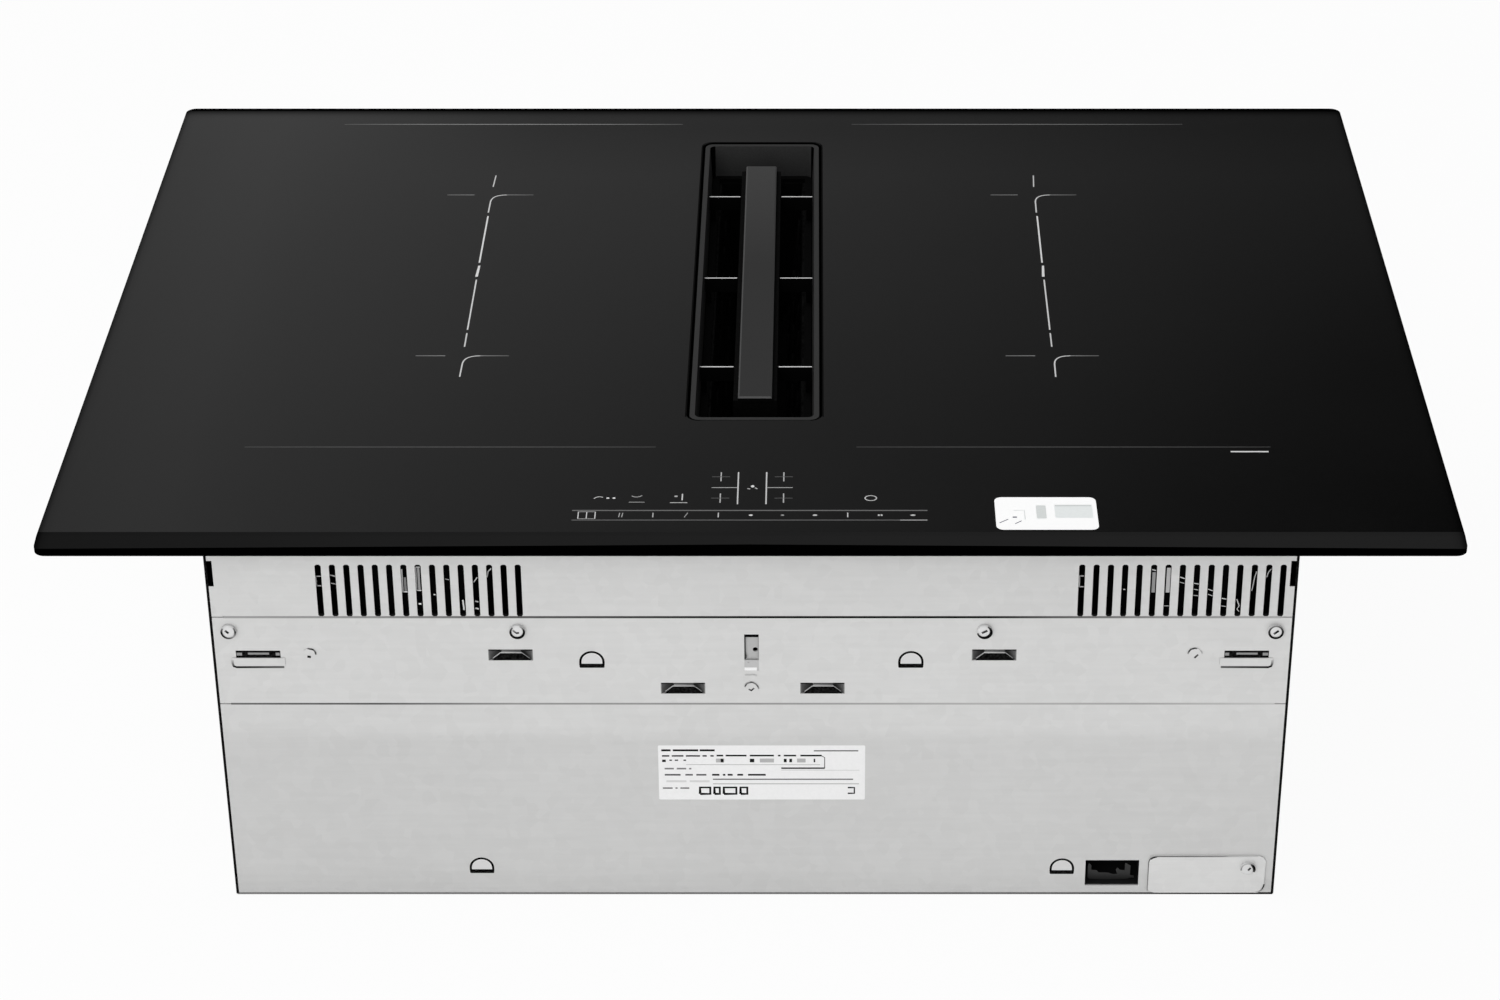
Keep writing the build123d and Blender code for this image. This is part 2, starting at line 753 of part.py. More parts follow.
def impeller():
    """Backward curved blades between a back disc and a shroud ring."""
    z0 = impeller_z0()
    z1 = z0 + IMPELLER_H
    wheel = ring(0, 0, IMPELLER_R, ROTOR_R, z0, z0 + DISC_T)
    wheel += ring(0, 0, IMPELLER_R, IMPELLER_EYE_R, z1 - DISC_T, z1)
    inner_r = IMPELLER_EYE_R - EYE_GAP
    start = Vector(inner_r, 0)
    end = Vector(IMPELLER_R - 0.5, 0).rotate(Axis.Z, -BLADE_SWEEP)
    chord = end - start
    bulge = Vector(-chord.Y, chord.X).normalized() * (BLADE_SWEEP / 6)
    middle = (start + end) * 0.5 + bulge
    camber = ThreePointArc(start, middle, end)
    sides = ([], [])
    for i in range(BLADE_FACETS + 1):
        share = i / BLADE_FACETS
        along = camber % share
        across = Vector(-along.Y, along.X) * (BLADE_T / 2)
        sides[0].append(camber @ share + across)
        sides[1].append(camber @ share - across)
    section = make_face(Polyline(*sides[0], *reversed(sides[1]), close=True))
    blade = extrude(Pos(0, 0, z0 + DISC_T) * section, IMPELLER_H - 2 * DISC_T)
    for i in range(BLADE_COUNT):
        wheel += Rot(0, 0, i * 360 / BLADE_COUNT) * blade
    return Pos(BLOWER_X, BLOWER_Y, 0) * wheel


def impeller_z0():
    """Height of the impeller's back disc."""
    return SCROLL_BASE_Z + MOTOR_FLANGE_T + PLASTIC + ROTOR_GAP


def rotor_top():
    """Height of the rotor cup's closed end."""
    return impeller_z0() + STATOR_H + ROTOR_GAP + ROTOR_WALL


def rotor_cup():
    z1 = rotor_top()
    cup = ring(BLOWER_X, BLOWER_Y, ROTOR_R, ROTOR_R - ROTOR_WALL, impeller_z0(), z1)
    lid = ring(BLOWER_X, BLOWER_Y, ROTOR_R, SHAFT_R, z1 - ROTOR_WALL, z1)
    return cup + lid


def bearing_heights():
    """Lower faces of the two bearings inside the motor tube."""
    low = SCROLL_BASE_Z + MOTOR_FLANGE_T
    high = rotor_top() - ROTOR_WALL - ROTOR_GAP - BEARING_T
    return low, high


def motor_mount():
    """Flange and bearing tube of the external rotor motor."""
    z0 = SCROLL_BASE_Z
    low, high = bearing_heights()
    x, y = BLOWER_X, BLOWER_Y
    mount = disc(x, y, MOTOR_FLANGE_R, z0, z0 + MOTOR_FLANGE_T)
    mount += disc(x, y, TUBE_R, z0, high + BEARING_T)
    return mount - disc(x, y, SHAFT_R + BEARING_W, low, high + BEARING_T)


def motor_bearings():
    outer_r = SHAFT_R + BEARING_W
    races = []
    for z in bearing_heights():
        races.append(ring(BLOWER_X, BLOWER_Y, outer_r, SHAFT_R + RUNNING_FIT, z, z + BEARING_T))
    return group(races)


def motor_stator():
    """Laminated core with wound poles, round the bearing tube."""
    z0 = impeller_z0()
    core = ring(BLOWER_X, BLOWER_Y, STATOR_R, TUBE_R, z0, z0 + STATOR_H)
    centre = Pos(BLOWER_X, BLOWER_Y, z0 + STATOR_H / 2)
    slot = Box(STATOR_R - TUBE_R, ROTOR_WALL, STATOR_H)
    return core - [centre * place * slot for place in PolarLocations(STATOR_R, STATOR_POLES)]


def motor_shaft():
    low, _ = bearing_heights()
    return disc(BLOWER_X, BLOWER_Y, SHAFT_R, low + 0.5, rotor_top())


# ---- overflow container ------------------------------------------------------------------

def overflow_container():
    """A round can with three bayonet lugs and a grip bar under its base."""
    z0 = CAN_RECESS
    z1 = SHAFT_FLOOR_Z - CAN_SEAL_T - LIFT_CLEARANCE
    can = disc(0, INLET_Y, CAN_BASE_R, z0, z0 + CAN_BASE_T)
    can += disc(0, INLET_Y, CAN_R, z0, z1)
    can -= disc(0, INLET_Y, CAN_R - CAN_WALL, z0 + CAN_BASE_T, z1)
    for i in range(LUG_COUNT):
        start = i * 360 / LUG_COUNT - LUG_ARC / 2
        lug = ring(0, INLET_Y, CAN_R + LUG_OUT, CAN_R - CAN_WALL, LUG_Z, LUG_Z + LUG_T)
        can += lug & pie(RING_R, start, LUG_ARC)
    reach = CAN_BASE_R * 0.72
    bowl = disc(0, INLET_Y, reach, z0, z0 + GRIP_DEPTH)
    bar = block(-reach, reach, INLET_Y - GRIP_W / 2, INLET_Y + GRIP_W / 2, z0, z0 + GRIP_DEPTH)
    return can - (bowl - bar)


def container_seal():
    z1 = SHAFT_FLOOR_Z
    return ring(0, INLET_Y, CAN_R, CAN_R - 3 * CAN_WALL, z1 - CAN_SEAL_T, z1)


# ---- electronics tray ------------------------------------------------------------------

def upright_slot(x, z, width, height, corner, y0, y1):
    """A round-cornered slot through a wall that faces the front or the back."""
    sketch = Plane.XZ * Pos(x, z) * RectangleRounded(width, height, corner)
    return Pos(0, y1, 0) * extrude(sketch, y1 - y0)


def board_corners(side):
    """Standoff places under one power board."""
    middle = side * ZONE_X
    reach = BOARD_W / 2 - 2 * STANDOFF_R
    y0 = BOARD_Y0 + 2 * STANDOFF_R
    y1 = BOARD_Y0 + BOARD_L - 2 * STANDOFF_R
    return [(middle + dx, y) for dx in (-reach, reach) for y in (y0, y1)]


def vent_slots(middle, pitch):
    """A row of upright slots with cut corners in the tray's front wall."""
    outline = chamfer(Rectangle(SLOT_W, SLOT_H).vertices(), SLOT_CORNER)
    first = middle - pitch * (SLOT_COUNT - 1) / 2
    places = [Pos(first + i * pitch, SLOT_Z) for i in range(SLOT_COUNT)]
    y1 = FRONT + SHEET
    return [Pos(0, y1, 0) * extrude(Plane.XZ * place * outline, SHEET) for place in places]


def electronics_tray():
    inner_w, inner_d = HALF_W - SHEET, HALF_D - SHEET
    tray = block(-HALF_W, HALF_W, FRONT, BACK, TRAY_Z0, CASE_H)
    upright = tray.edges().filter_by(Axis.Z)
    tray = fillet(upright, SHEET)
    tray -= block(-inner_w, inner_w, -inner_d, inner_d, TRAY_FLOOR, CASE_H - SHEET)
    mouth_w, mouth_d = HALF_W - BOND_W, HALF_D - BOND_W
    tray -= block(-mouth_w, mouth_w, -mouth_d, mouth_d, TRAY_FLOOR, CASE_H)
    hole_half = SHAFT_HALF + CAN_FIT
    tray -= block(-hole_half, hole_half, INLET_Y0, INLET_Y1, TRAY_Z0, TRAY_FLOOR)
    cuts = vent_slots(LEFT_SLOTS_X, LEFT_SLOT_PITCH)
    cuts += vent_slots(RIGHT_SLOTS_X, RIGHT_SLOT_PITCH)
    for side in (-1, 1):
        x0, x1 = sorted((side * inner_w, side * (inner_w - CORNER_NOTCH_W)))
        z0 = CORNER_NOTCH_Z - CORNER_NOTCH_H / 2
        cuts.append(block(x0, x1, FRONT, FRONT + SHEET, z0, z0 + CORNER_NOTCH_H))
        pitch = 2 * RIGHT_SLOT_PITCH
        first = side * ZONE_X - pitch * (REAR_SLOT_COUNT - 1) / 2
        for i in range(REAR_SLOT_COUNT):
            x = first + i * pitch
            y0 = BACK - SHEET
            half_h = SLOT_H / 2
            cuts.append(block(x - SLOT_W, x + SLOT_W, y0, BACK, SLOT_Z - half_h, SLOT_Z + half_h))
        for y in (-CLAMP_HOLE_PITCH / 2, CLAMP_HOLE_PITCH / 2):
            hole = Pos(side * (HALF_W - SHEET / 2), y, CLAMP_HOLE_Z)
            cuts.append(hole * Rot(0, 90, 0) * Cylinder(CLAMP_HOLE_R, SHEET))
    tray -= cuts
    for side in (-1, 1):
        for x, y in board_corners(side):
            tray += disc(x, y, STANDOFF_R, TRAY_FLOOR, BOARD_Z0)
    y0, y1 = FRONT + SHEET, FRONT + 2 * SHEET
    for x in FRONT_SCREWS_X[1:3]:
        tray += tray_lug(x, TRAY_Z0 - LUG_PLATE_H) - front_screw_hole(x, FRONT_SCREWS_Z, y0, y1)
    pin_hole = front_disc(PIN_HOLE_X, SEAM_Z - PIN_HOLE_DROP, PIN_HOLE_R, y0, y1)
    tray += tray_lug(CENTRE_SLOT_X, CENTRE_SLOT_Z0 - LUG_MARGIN) - pin_hole
    return tray


def tray_lug(x, z0):
    """A tongue of the tray that hangs down inside the front panel."""
    half = LUG_PLATE_W / 2
    return block(x - half, x + half, FRONT + SHEET, FRONT + 2 * SHEET, z0, TRAY_Z0)


def front_screw_hole(x, z, y0, y1):
    return front_disc(x, z, SCREW_HOLE_R, y0, y1)


def power_board(side):
    middle = side * ZONE_X
    board = block(
        middle - BOARD_W / 2,
        middle + BOARD_W / 2,
        BOARD_Y0,
        BOARD_Y0 + BOARD_L,
        BOARD_Z0,
        BOARD_Z1,
    )
    notch = STANDOFF_R * 4
    return board - block(
        middle - notch, middle + notch, BOARD_Y0, BOARD_Y0 + notch, BOARD_Z0, BOARD_Z1
    )


def heat_sink_x(side):
    return side * (ZONE_X - BOARD_W / 2 + HEAT_SINK_W)


def heat_sink(side):
    """An extruded comb of cooling fins along Y."""
    x0 = heat_sink_x(side) - HEAT_SINK_W / 2
    z0 = BOARD_Z1
    profile = Pos(x0 + HEAT_SINK_W / 2, z0 + HEAT_SINK_BASE / 2) * Rectangle(
        HEAT_SINK_W, HEAT_SINK_BASE
    )
    pitch = (HEAT_SINK_W - FIN_T) / (FIN_COUNT - 1)
    for i in range(FIN_COUNT):
        fin = Rectangle(FIN_T, HEAT_SINK_H)
        profile += Pos(x0 + FIN_T / 2 + i * pitch, z0 + HEAT_SINK_H / 2) * fin
    y1 = BOARD_Y0 + 2 * STANDOFF_R + HEAT_SINK_L
    return Pos(0, y1, 0) * extrude(Plane.XZ * profile, HEAT_SINK_L)


def board_components(side):
    """Smoothing capacitors, boxed chokes and relays that stand on one board."""
    outer = side * (ZONE_X + BOARD_W / 4)
    parts = []
    y = BOARD_Y0 + 3 * CAPACITOR_R
    for _ in range(3):
        parts.append(disc(outer, y, CAPACITOR_R, BOARD_Z1, BOARD_Z1 + CAPACITOR_H))
        y += 2.5 * CAPACITOR_R
    for _ in range(2):
        y += CAPACITOR_R
        half, z1 = CHOKE_W / 2, BOARD_Z1 + CAPACITOR_R
        parts.append(block(outer - half, outer + half, y - half, y + half, BOARD_Z1, z1))
        y += 2 * CAPACITOR_R
    inner = heat_sink_x(side)
    y = BOARD_Y0 + HEAT_SINK_L + 3 * CAPACITOR_R
    for _ in range(3):
        half_w, half_d = CAPACITOR_R, CAPACITOR_R / 2
        relay = block(
            inner - half_w,
            inner + half_w,
            y - half_d,
            y + half_d,
            BOARD_Z1,
            BOARD_Z1 + 1.5 * CAPACITOR_R,
        )
        parts.append(relay)
        y += 2 * CAPACITOR_R
    return parts


# ---- cooling fans ----------------------------------------------------------------------

def fan_middle_y():
    return FRONT + SHEET + FAN_SETBACK + FAN_SIDE / 2


def fan_housing(x):
    """A flat radial fan case, open at the eye and towards the board."""
    y = fan_middle_y()
    half = FAN_SIDE / 2
    z0, z1 = TRAY_FLOOR, TRAY_FLOOR + FAN_H
    case = block(x - half, x + half, y - half, y + half, z0, z1)
    case = chamfer(case.edges().filter_by(Axis.Z), FAN_SIDE / 6)
    inner = half - FAN_WALL
    hollow = block(x - inner, x + inner, y - inner, y + inner, z0 + FAN_WALL, z1 - FAN_WALL)
    hollow = chamfer(hollow.edges().filter_by(Axis.Z), FAN_SIDE / 6 - FAN_WALL / 2)
    eye = disc(x, y, FAN_EYE_R, z1 - FAN_WALL, z1)
    mouth = block(
        x - half / 2, x + half / 2, y, y + half, z0 + FAN_WALL, z1 - 2 * FAN_WALL
    )
    pin = disc(x, y, FAN_PIN_R, z0 + FAN_WALL, z0 + FAN_WALL + FAN_ROTOR_H)
    return case - hollow - eye - mouth + pin


def fan_rotor(x):
    """A hub on the pin with swept blades on a thin disc."""
    z0 = TRAY_FLOOR + 2 * FAN_WALL
    z1 = z0 + FAN_ROTOR_H
    wheel = disc(0, 0, FAN_HUB_R, z0, z1) + disc(0, 0, FAN_ROTOR_R, z0, z0 + FAN_WALL)
    half_t = FAN_WALL / 2
    blade = block(FAN_HUB_R - half_t, FAN_ROTOR_R - half_t, -half_t, half_t, z0, z1)
    for i in range(FAN_BLADES):
        wheel += Rot(0, 0, i * 360 / FAN_BLADES) * blade
    wheel -= disc(0, 0, FAN_PIN_R + RUNNING_FIT, z0, z1 - FAN_WALL)
    return Pos(x, fan_middle_y(), 0) * wheel


# ---- coils --------------------------------------------------------------------------------

def zone_centres(side):
    return [(side * ZONE_X, ZONES_Y - ZONE_PITCH / 2), (side * ZONE_X, ZONES_Y + ZONE_PITCH / 2)]


def coil_deck(side):
    """The aluminium sheet that carries two coils, on bent corner legs."""
    x0 = side * ZONE_X - DECK_W / 2
    x1 = x0 + DECK_W
    y0, y1 = ZONES_Y - DECK_L / 2, ZONES_Y + DECK_L / 2
    deck = block(x0, x1, y0, y1, DECK_Z, DECK_Z + DECK_T)
    for leg_x in (x0, x1 - DECK_LEG_W):
        for leg_y in (y0, y1 - DECK_T):
            deck += block(leg_x, leg_x + DECK_LEG_W, leg_y, leg_y + DECK_T, TRAY_FLOOR, DECK_Z)
    return deck


def ferrite_bars(x, y):
    bars = []
    inner = FERRITE_RING_R
    for i in range(FERRITES_PER_COIL):
        bar = block(
            inner,
            inner + FERRITE_L,
            -FERRITE_W / 2,
            FERRITE_W / 2,
            CARRIER_Z0,
            CARRIER_Z0 + FERRITE_T,
        )
        bars.append(Pos(x, y, 0) * Rot(0, 0, (i + 0.5) * 360 / FERRITES_PER_COIL) * bar)
    return bars


def coil_carrier(x, y):
    plate = extrude(
        Pos(x, y, CARRIER_Z0) * RectangleRounded(COIL_W, COIL_L, COIL_CORNER), CARRIER_T
    )
    return plate - disc(x, y, SENSOR_R, CARRIER_Z0, WINDING_Z0) - ferrite_bars(x, y)


def coil_winding(x, y):
    """Flat wound wire round an open middle."""
    width, length = COIL_W - 2 * CARRIER_MARGIN, COIL_L - 2 * CARRIER_MARGIN
    corner = COIL_CORNER - CARRIER_MARGIN
    outline = RectangleRounded(width, length, corner) - Circle(COIL_HOLE_R)
    return extrude(Pos(x, y, WINDING_Z0) * outline, WINDING_T)


def mica_sheets():
    sheets = []
    for side in (-1, 1):
        sheet = block(
            side * ZONE_X - COIL_W / 2,
            side * ZONE_X + COIL_W / 2,
            ZONES_Y - (ZONE_PITCH + COIL_L) / 2,
            ZONES_Y + (ZONE_PITCH + COIL_L) / 2,
            MICA_Z0,
            MICA_Z0 + MICA_T,
        )
        for x, y in zone_centres(side):
            sheet -= disc(x, y, SENSOR_R, MICA_Z0, MICA_Z0 + MICA_T)
        sheets.append(sheet)
    return group(sheets)


def zone_sensors():
    """Sprung temperature feelers pressed against the glass."""
    feelers = []
    for side in (-1, 1):
        for x, y in zone_centres(side):
            feelers.append(disc(x, y, SENSOR_R, CARRIER_Z0, GLASS_Z0))
    return group(feelers)


# ---- touch control ----------------------------------------------------------------------------

def touch_limits():
    y0 = FRONT + BOND_W + 2 * SHEET
    return -TOUCH_W / 2, TOUCH_W / 2, y0, y0 + TOUCH_D


def touch_corners(inset):
    x0, x1, y0, y1 = touch_limits()
    return [(x, y) for x in (x0 + inset, x1 - inset) for y in (y0 + inset, y1 - inset)]


def touch_board_z():
    return GLASS_Z0 - TOUCH_BOARD_DROP - BOARD_T


def touch_carrier():
    x0, x1, y0, y1 = touch_limits()
    z0 = GLASS_Z0 - TOUCH_H
    wall = PLASTIC
    carrier = block(x0, x1, y0, y1, z0, GLASS_Z0)
    carrier -= block(x0 + wall, x1 - wall, y0 + wall, y1 - wall, z0 + wall, GLASS_Z0)
    reach = TOUCH_POST_W / 2
    for x, y in touch_corners(reach):
        carrier += block(x - reach, x + reach, y - reach, y + reach, TRAY_FLOOR, z0 + wall)
    for x, y in touch_corners(wall + reach):
        carrier += block(x - wall, x + wall, y - wall, y + wall, z0, touch_board_z())
    return carrier


def touch_board():
    x0, x1, y0, y1 = touch_limits()
    inset = PLASTIC + CAN_FIT
    z0 = touch_board_z()
    return block(x0 + inset, x1 - inset, y0 + inset, y1 - inset, z0, z0 + BOARD_T)


# ---- case panels ---------------------------------------------------------------------------------

def bridge_lance(x, z, height):
    """The window and the bridge that is pushed in through it."""
    half = LANCE_W / 2
    flat = half - LANCE_LEG
    window = block(x - half, x + half, FRONT, FRONT + SHEET, z - height / 2, z + height / 2)
    front_line = [(-half, 0), (-flat, LANCE_IN), (flat, LANCE_IN), (half, 0)]
    back_line = [(dx, dy + SHEET) for dx, dy in reversed(front_line)]
    plan = make_face(Polyline(*front_line, *back_line, close=True))
    bridge = extrude(Pos(x, FRONT, z - height / 2) * plan, height)
    return window, bridge


def d_lance(x, z):
    """A sheared tongue: a shallow arched groove over a slot."""
    centre_z = z + DLANCE_H - DLANCE_R

    def arch(radius, bottom):
        top = Plane.XZ * Pos(x, centre_z) * Circle(radius)
        leg = Plane.XZ * Pos(x, (centre_z + bottom) / 2) * Rectangle(2 * radius, centre_z - bottom)
        upper = extrude(top, -DLANCE_DEPTH) + extrude(leg, -DLANCE_DEPTH)
        return Pos(0, FRONT, 0) * upper

    cut = block(x - DLANCE_R, x + DLANCE_R, FRONT, FRONT + SHEET, z, z + DLANCE_SLOT)
    lip_z = z + DLANCE_SLOT
    above = block(x - DLANCE_R, x + DLANCE_R, FRONT, BACK, lip_z, z + DLANCE_H)
    groove = (arch(DLANCE_R, lip_z) - arch(DLANCE_R - DLANCE_GROOVE, lip_z)) & above
    return cut, groove


def upper_front_panel():
    panel = block(-HALF_W, HALF_W, FRONT, FRONT + SHEET, UPPER_BAND_Z0, SEAM_Z)
    rows = (
        (MID_LANCES_X, MID_LANCES_Z, LANCE_H),
        (LOW_LANCES_X, LOW_LANCES_Z, LANCE_H),
        (OUTER_LANCES_X, OUTER_LANCES_Z, OUTER_LANCE_H),
    )
    windows, bridges, pads = [], [], []
    for x, z, height in rows:
        for side in (-1, 1):
            window, bridge = bridge_lance(side * x, z, height)
            windows.append(window)
            bridges.append(bridge)
    for side in (-1, 1):
        z1 = OUTER_LANCES_Z - OUTER_LANCE_H / 2
        pad = block(
            side * OUTER_LANCES_X - PAD_W / 2,
            side * OUTER_LANCES_X + PAD_W / 2,
            FRONT - PAD_PROUD,
            FRONT,
            z1 - PAD_H,
            z1,
        )
        lower = pad.edges().filter_by(Axis.Y).group_by(Axis.Z)[0]
        pads.append(fillet(lower, PAD_CORNER))
    for x, z in UPPER_DLANCES:
        windows.extend(d_lance(x, z))
    half_slot = CENTRE_SLOT_W / 2
    windows.append(
        block(
            CENTRE_SLOT_X - half_slot,
            CENTRE_SLOT_X + half_slot,
            FRONT,
            FRONT + SHEET,
            CENTRE_SLOT_Z0,
            CENTRE_SLOT_Z1,
        )
    )
    for x in FRONT_SCREWS_X:
        windows.append(front_screw_hole(x, FRONT_SCREWS_Z, FRONT, FRONT + SHEET))
    dimples = [front_disc(x, z, DIMPLE_R, FRONT - DIMPLE_PROUD, FRONT) for x, z in DIMPLES]
    return panel - windows + bridges + pads + dimples


def lower_front_panel():
    panel = block(-HALF_W, HALF_W, FRONT, FRONT + SHEET, 0, LOWER_BAND_Z1)
    bottom_edge = panel.edges().filter_by(Axis.X).group_by(Axis.Z)[0].sort_by(Axis.Y)[0]
    panel = fillet(bottom_edge, LOWER_EDGE_R * 0.9)
    cuts = [block(SOCKET_X0, SOCKET_X1, FRONT, FRONT + SHEET, SOCKET_Z0, SOCKET_Z1)]
    cuts.append(
        block(
            COVER_X0 + COVER_MARGIN,
            COVER_SCREW_X - SCREW_HEAD_R - COVER_MARGIN,
            FRONT,
            FRONT + SHEET,
            COVER_Z0 + COVER_MARGIN,
            COVER_Z1 - COVER_MARGIN,
        )
    )
    cuts.append(front_screw_hole(COVER_SCREW_X, COVER_SCREW_Z, FRONT, FRONT + SHEET))
    for x, z in LOWER_DLANCES:
        cuts.extend(d_lance(x, z))
    return panel - cuts


def side_panel(side):
    """A side wall with flanges turned in behind the front and rear panels."""
    def strip(near, far, y0, y1, z0):
        x0, x1 = sorted((side * near, side * far))
        return block(x0, x1, y0, y1, z0, TRAY_Z0)

    y0, y1 = FRONT + SHEET, BACK - SHEET
    inner = HALF_W - SHEET
    panel = strip(inner, HALF_W, y0, y1, 0)
    panel += strip(HALF_W - SHEET - FLANGE_W, inner, y0, y0 + SHEET, SHEET)
    panel += strip(HALF_W - SHEET - REAR_FLANGE_W, inner, y1 - SHEET, y1, SHEET)
    lance_end = OUTER_LANCES_X + LANCE_W / 2 + CAN_FIT
    lance_half = OUTER_LANCE_H / 2 + CAN_FIT
    x0, x1 = sorted((side * lance_end, side * OUTER_LANCES_X))
    panel -= block(x0, x1, y0, y0 + SHEET, OUTER_LANCES_Z - lance_half, OUTER_LANCES_Z + lance_half)
    outer_screw = max(FRONT_SCREWS_X)
    holes = [front_screw_hole(side * outer_screw, FRONT_SCREWS_Z, y0, y0 + SHEET)]
    if side > 0:
        holes.append(front_screw_hole(COVER_SCREW_X, COVER_SCREW_Z, y0, y0 + SHEET))
    for x, z in rear_screws():
        if x * side > 0:
            holes.append(front_screw_hole(x, z, y1 - SHEET, y1))
    return panel - holes


def rear_screws():
    x = HALF_W - SHEET - REAR_FLANGE_W / 2
    return [(sx * x, z) for sx in (-1, 1) for z in (REAR_SCREW_Z, SEAM_Z - REAR_SCREW_Z)]


def rear_panel():
    panel = block(-HALF_W, HALF_W, BACK - SHEET, BACK, 0, SEAM_Z)
    middle, half = duct_middle(), DUCT_W / 2 + COLLAR_FIT
    z0 = SCROLL_BASE_Z - COLLAR_FIT
    z1 = SCROLL_BASE_Z + DUCT_H + COLLAR_FIT
    panel -= block(middle - half, middle + half, BACK - SHEET, BACK, z0, z1)
    holes = [front_screw_hole(x, z, BACK - SHEET, BACK) for x, z in rear_screws()]
    return panel - holes


def cable_y():
    return FRONT + CABLE_SETBACK


def bottom_plate():
    inner_w, inner_d = HALF_W - SHEET, HALF_D - SHEET
    plate = block(-inner_w, inner_w, -inner_d, inner_d, 0, SHEET)
    plate -= disc(0, INLET_Y, CAN_BASE_R + CAN_FIT, 0, SHEET)
    return plate - disc(CABLE_X, cable_y(), CABLE_R + GROMMET_WALL, 0, SHEET)


def cable_grommet():
    outer = CABLE_R + GROMMET_WALL
    y = cable_y()
    body = disc(CABLE_X, y, outer, 0, SHEET)
    body += disc(CABLE_X, y, outer + GROMMET_LIP, SHEET, SHEET + GROMMET_LIP)
    return body - disc(CABLE_X, y, CABLE_R, 0, SHEET + GROMMET_LIP)


# ---- mains connection -------------------------------------------------------------------------------

def terminal_cover():
    middle_x, middle_z = (COVER_X0 + COVER_X1) / 2, (COVER_Z0 + COVER_Z1) / 2
    width, height = COVER_X1 - COVER_X0, COVER_Z1 - COVER_Z0
    plate = upright_slot(middle_x, middle_z, width, height, COVER_CORNER, FRONT - SHEET, FRONT)
    return plate - front_screw_hole(COVER_SCREW_X, COVER_SCREW_Z, FRONT - SHEET, FRONT)


def terminal_block():
    """A row of screw terminals in separate cells."""
    x0 = COVER_X0 + COVER_MARGIN
    width = TERMINAL_POLES * TERMINAL_PITCH
    y0 = FRONT + 3 * SHEET
    z0 = SHEET
    body = block(x0, x0 + width, y0, y0 + TERMINAL_D, z0, z0 + TERMINAL_H)
    for i in range(TERMINAL_POLES):
        x = x0 + (i + 0.5) * TERMINAL_PITCH
        cell = TERMINAL_PITCH / 2 - SHEET
        body -= block(
            x - cell, x + cell, y0, y0 + TERMINAL_D / 2, z0 + TERMINAL_H / 2, z0 + TERMINAL_H
        )
    return body


def service_socket():
    """The connector shell behind its window, with three contact pins."""
    wall = SOCKET_WALL
    y0 = FRONT + SHEET
    shell = block(
        SOCKET_X0 - wall, SOCKET_X1 + wall, y0, y0 + SOCKET_D, SOCKET_Z0 - wall, SOCKET_Z1 + wall
    )
    shell -= block(SOCKET_X0, SOCKET_X1, y0, y0 + SOCKET_D - wall, SOCKET_Z0, SOCKET_Z1)
    middle_z = (SOCKET_Z0 + SOCKET_Z1) / 2
    pitch = (SOCKET_X1 - SOCKET_X0) / 4
    for i in range(1, 4):
        x = SOCKET_X0 + i * pitch
        y1 = y0 + SOCKET_D - wall
        shell += block(x - wall / 2, x + wall / 2, y1 - PIN_L, y1, middle_z - wall, middle_z + wall)
    return shell


def drive_unit():
    """The fan drive's ribbed plastic box, screwed to the bottom plate."""
    half_w, half_d = DRIVE_W / 2, DRIVE_D / 2
    z1 = SHEET + DRIVE_BOX_H
    box = block(DRIVE_X - half_w, DRIVE_X + half_w, DRIVE_Y - half_d, DRIVE_Y + half_d, SHEET, z1)
    box = fillet(box.edges().filter_by(Axis.Z), DLANCE_R)
    pitch = DRIVE_D / (FIN_COUNT + 1)
    for i in range(FIN_COUNT):
        y = DRIVE_Y - half_d + (i + 1) * pitch
        reach = half_w - FLANGE_W
        box -= block(DRIVE_X - reach, DRIVE_X + reach, y - FIN_T, y + FIN_T, z1 - PLASTIC, z1)
    return box


# ---- screws ---------------------------------------------------------------------------------------------

def pan_screw(x, z, face_y, out):
    """A pan head screw whose head lies on a face; out is the way the head points."""
    head_y = sorted((face_y, face_y + out * SCREW_HEAD_T))
    head = front_disc(x, z, SCREW_HEAD_R, *head_y)
    shank = extrude(Plane.XZ * Pos(x, z) * RegularPolygon(SCREW_R, 8), SCREW_L)
    return head + Pos(0, max(face_y, face_y - out * SCREW_L), 0) * shank


def case_screws():
    screws = [pan_screw(x, FRONT_SCREWS_Z, FRONT, -1) for x in FRONT_SCREWS_X]
    screws.append(pan_screw(COVER_SCREW_X, COVER_SCREW_Z, FRONT - SHEET, -1))
    screws += [pan_screw(x, z, BACK, 1) for x, z in rear_screws()]
    return group(screws)


# ---- all nodes -------------------------------------------------------------------------------------------

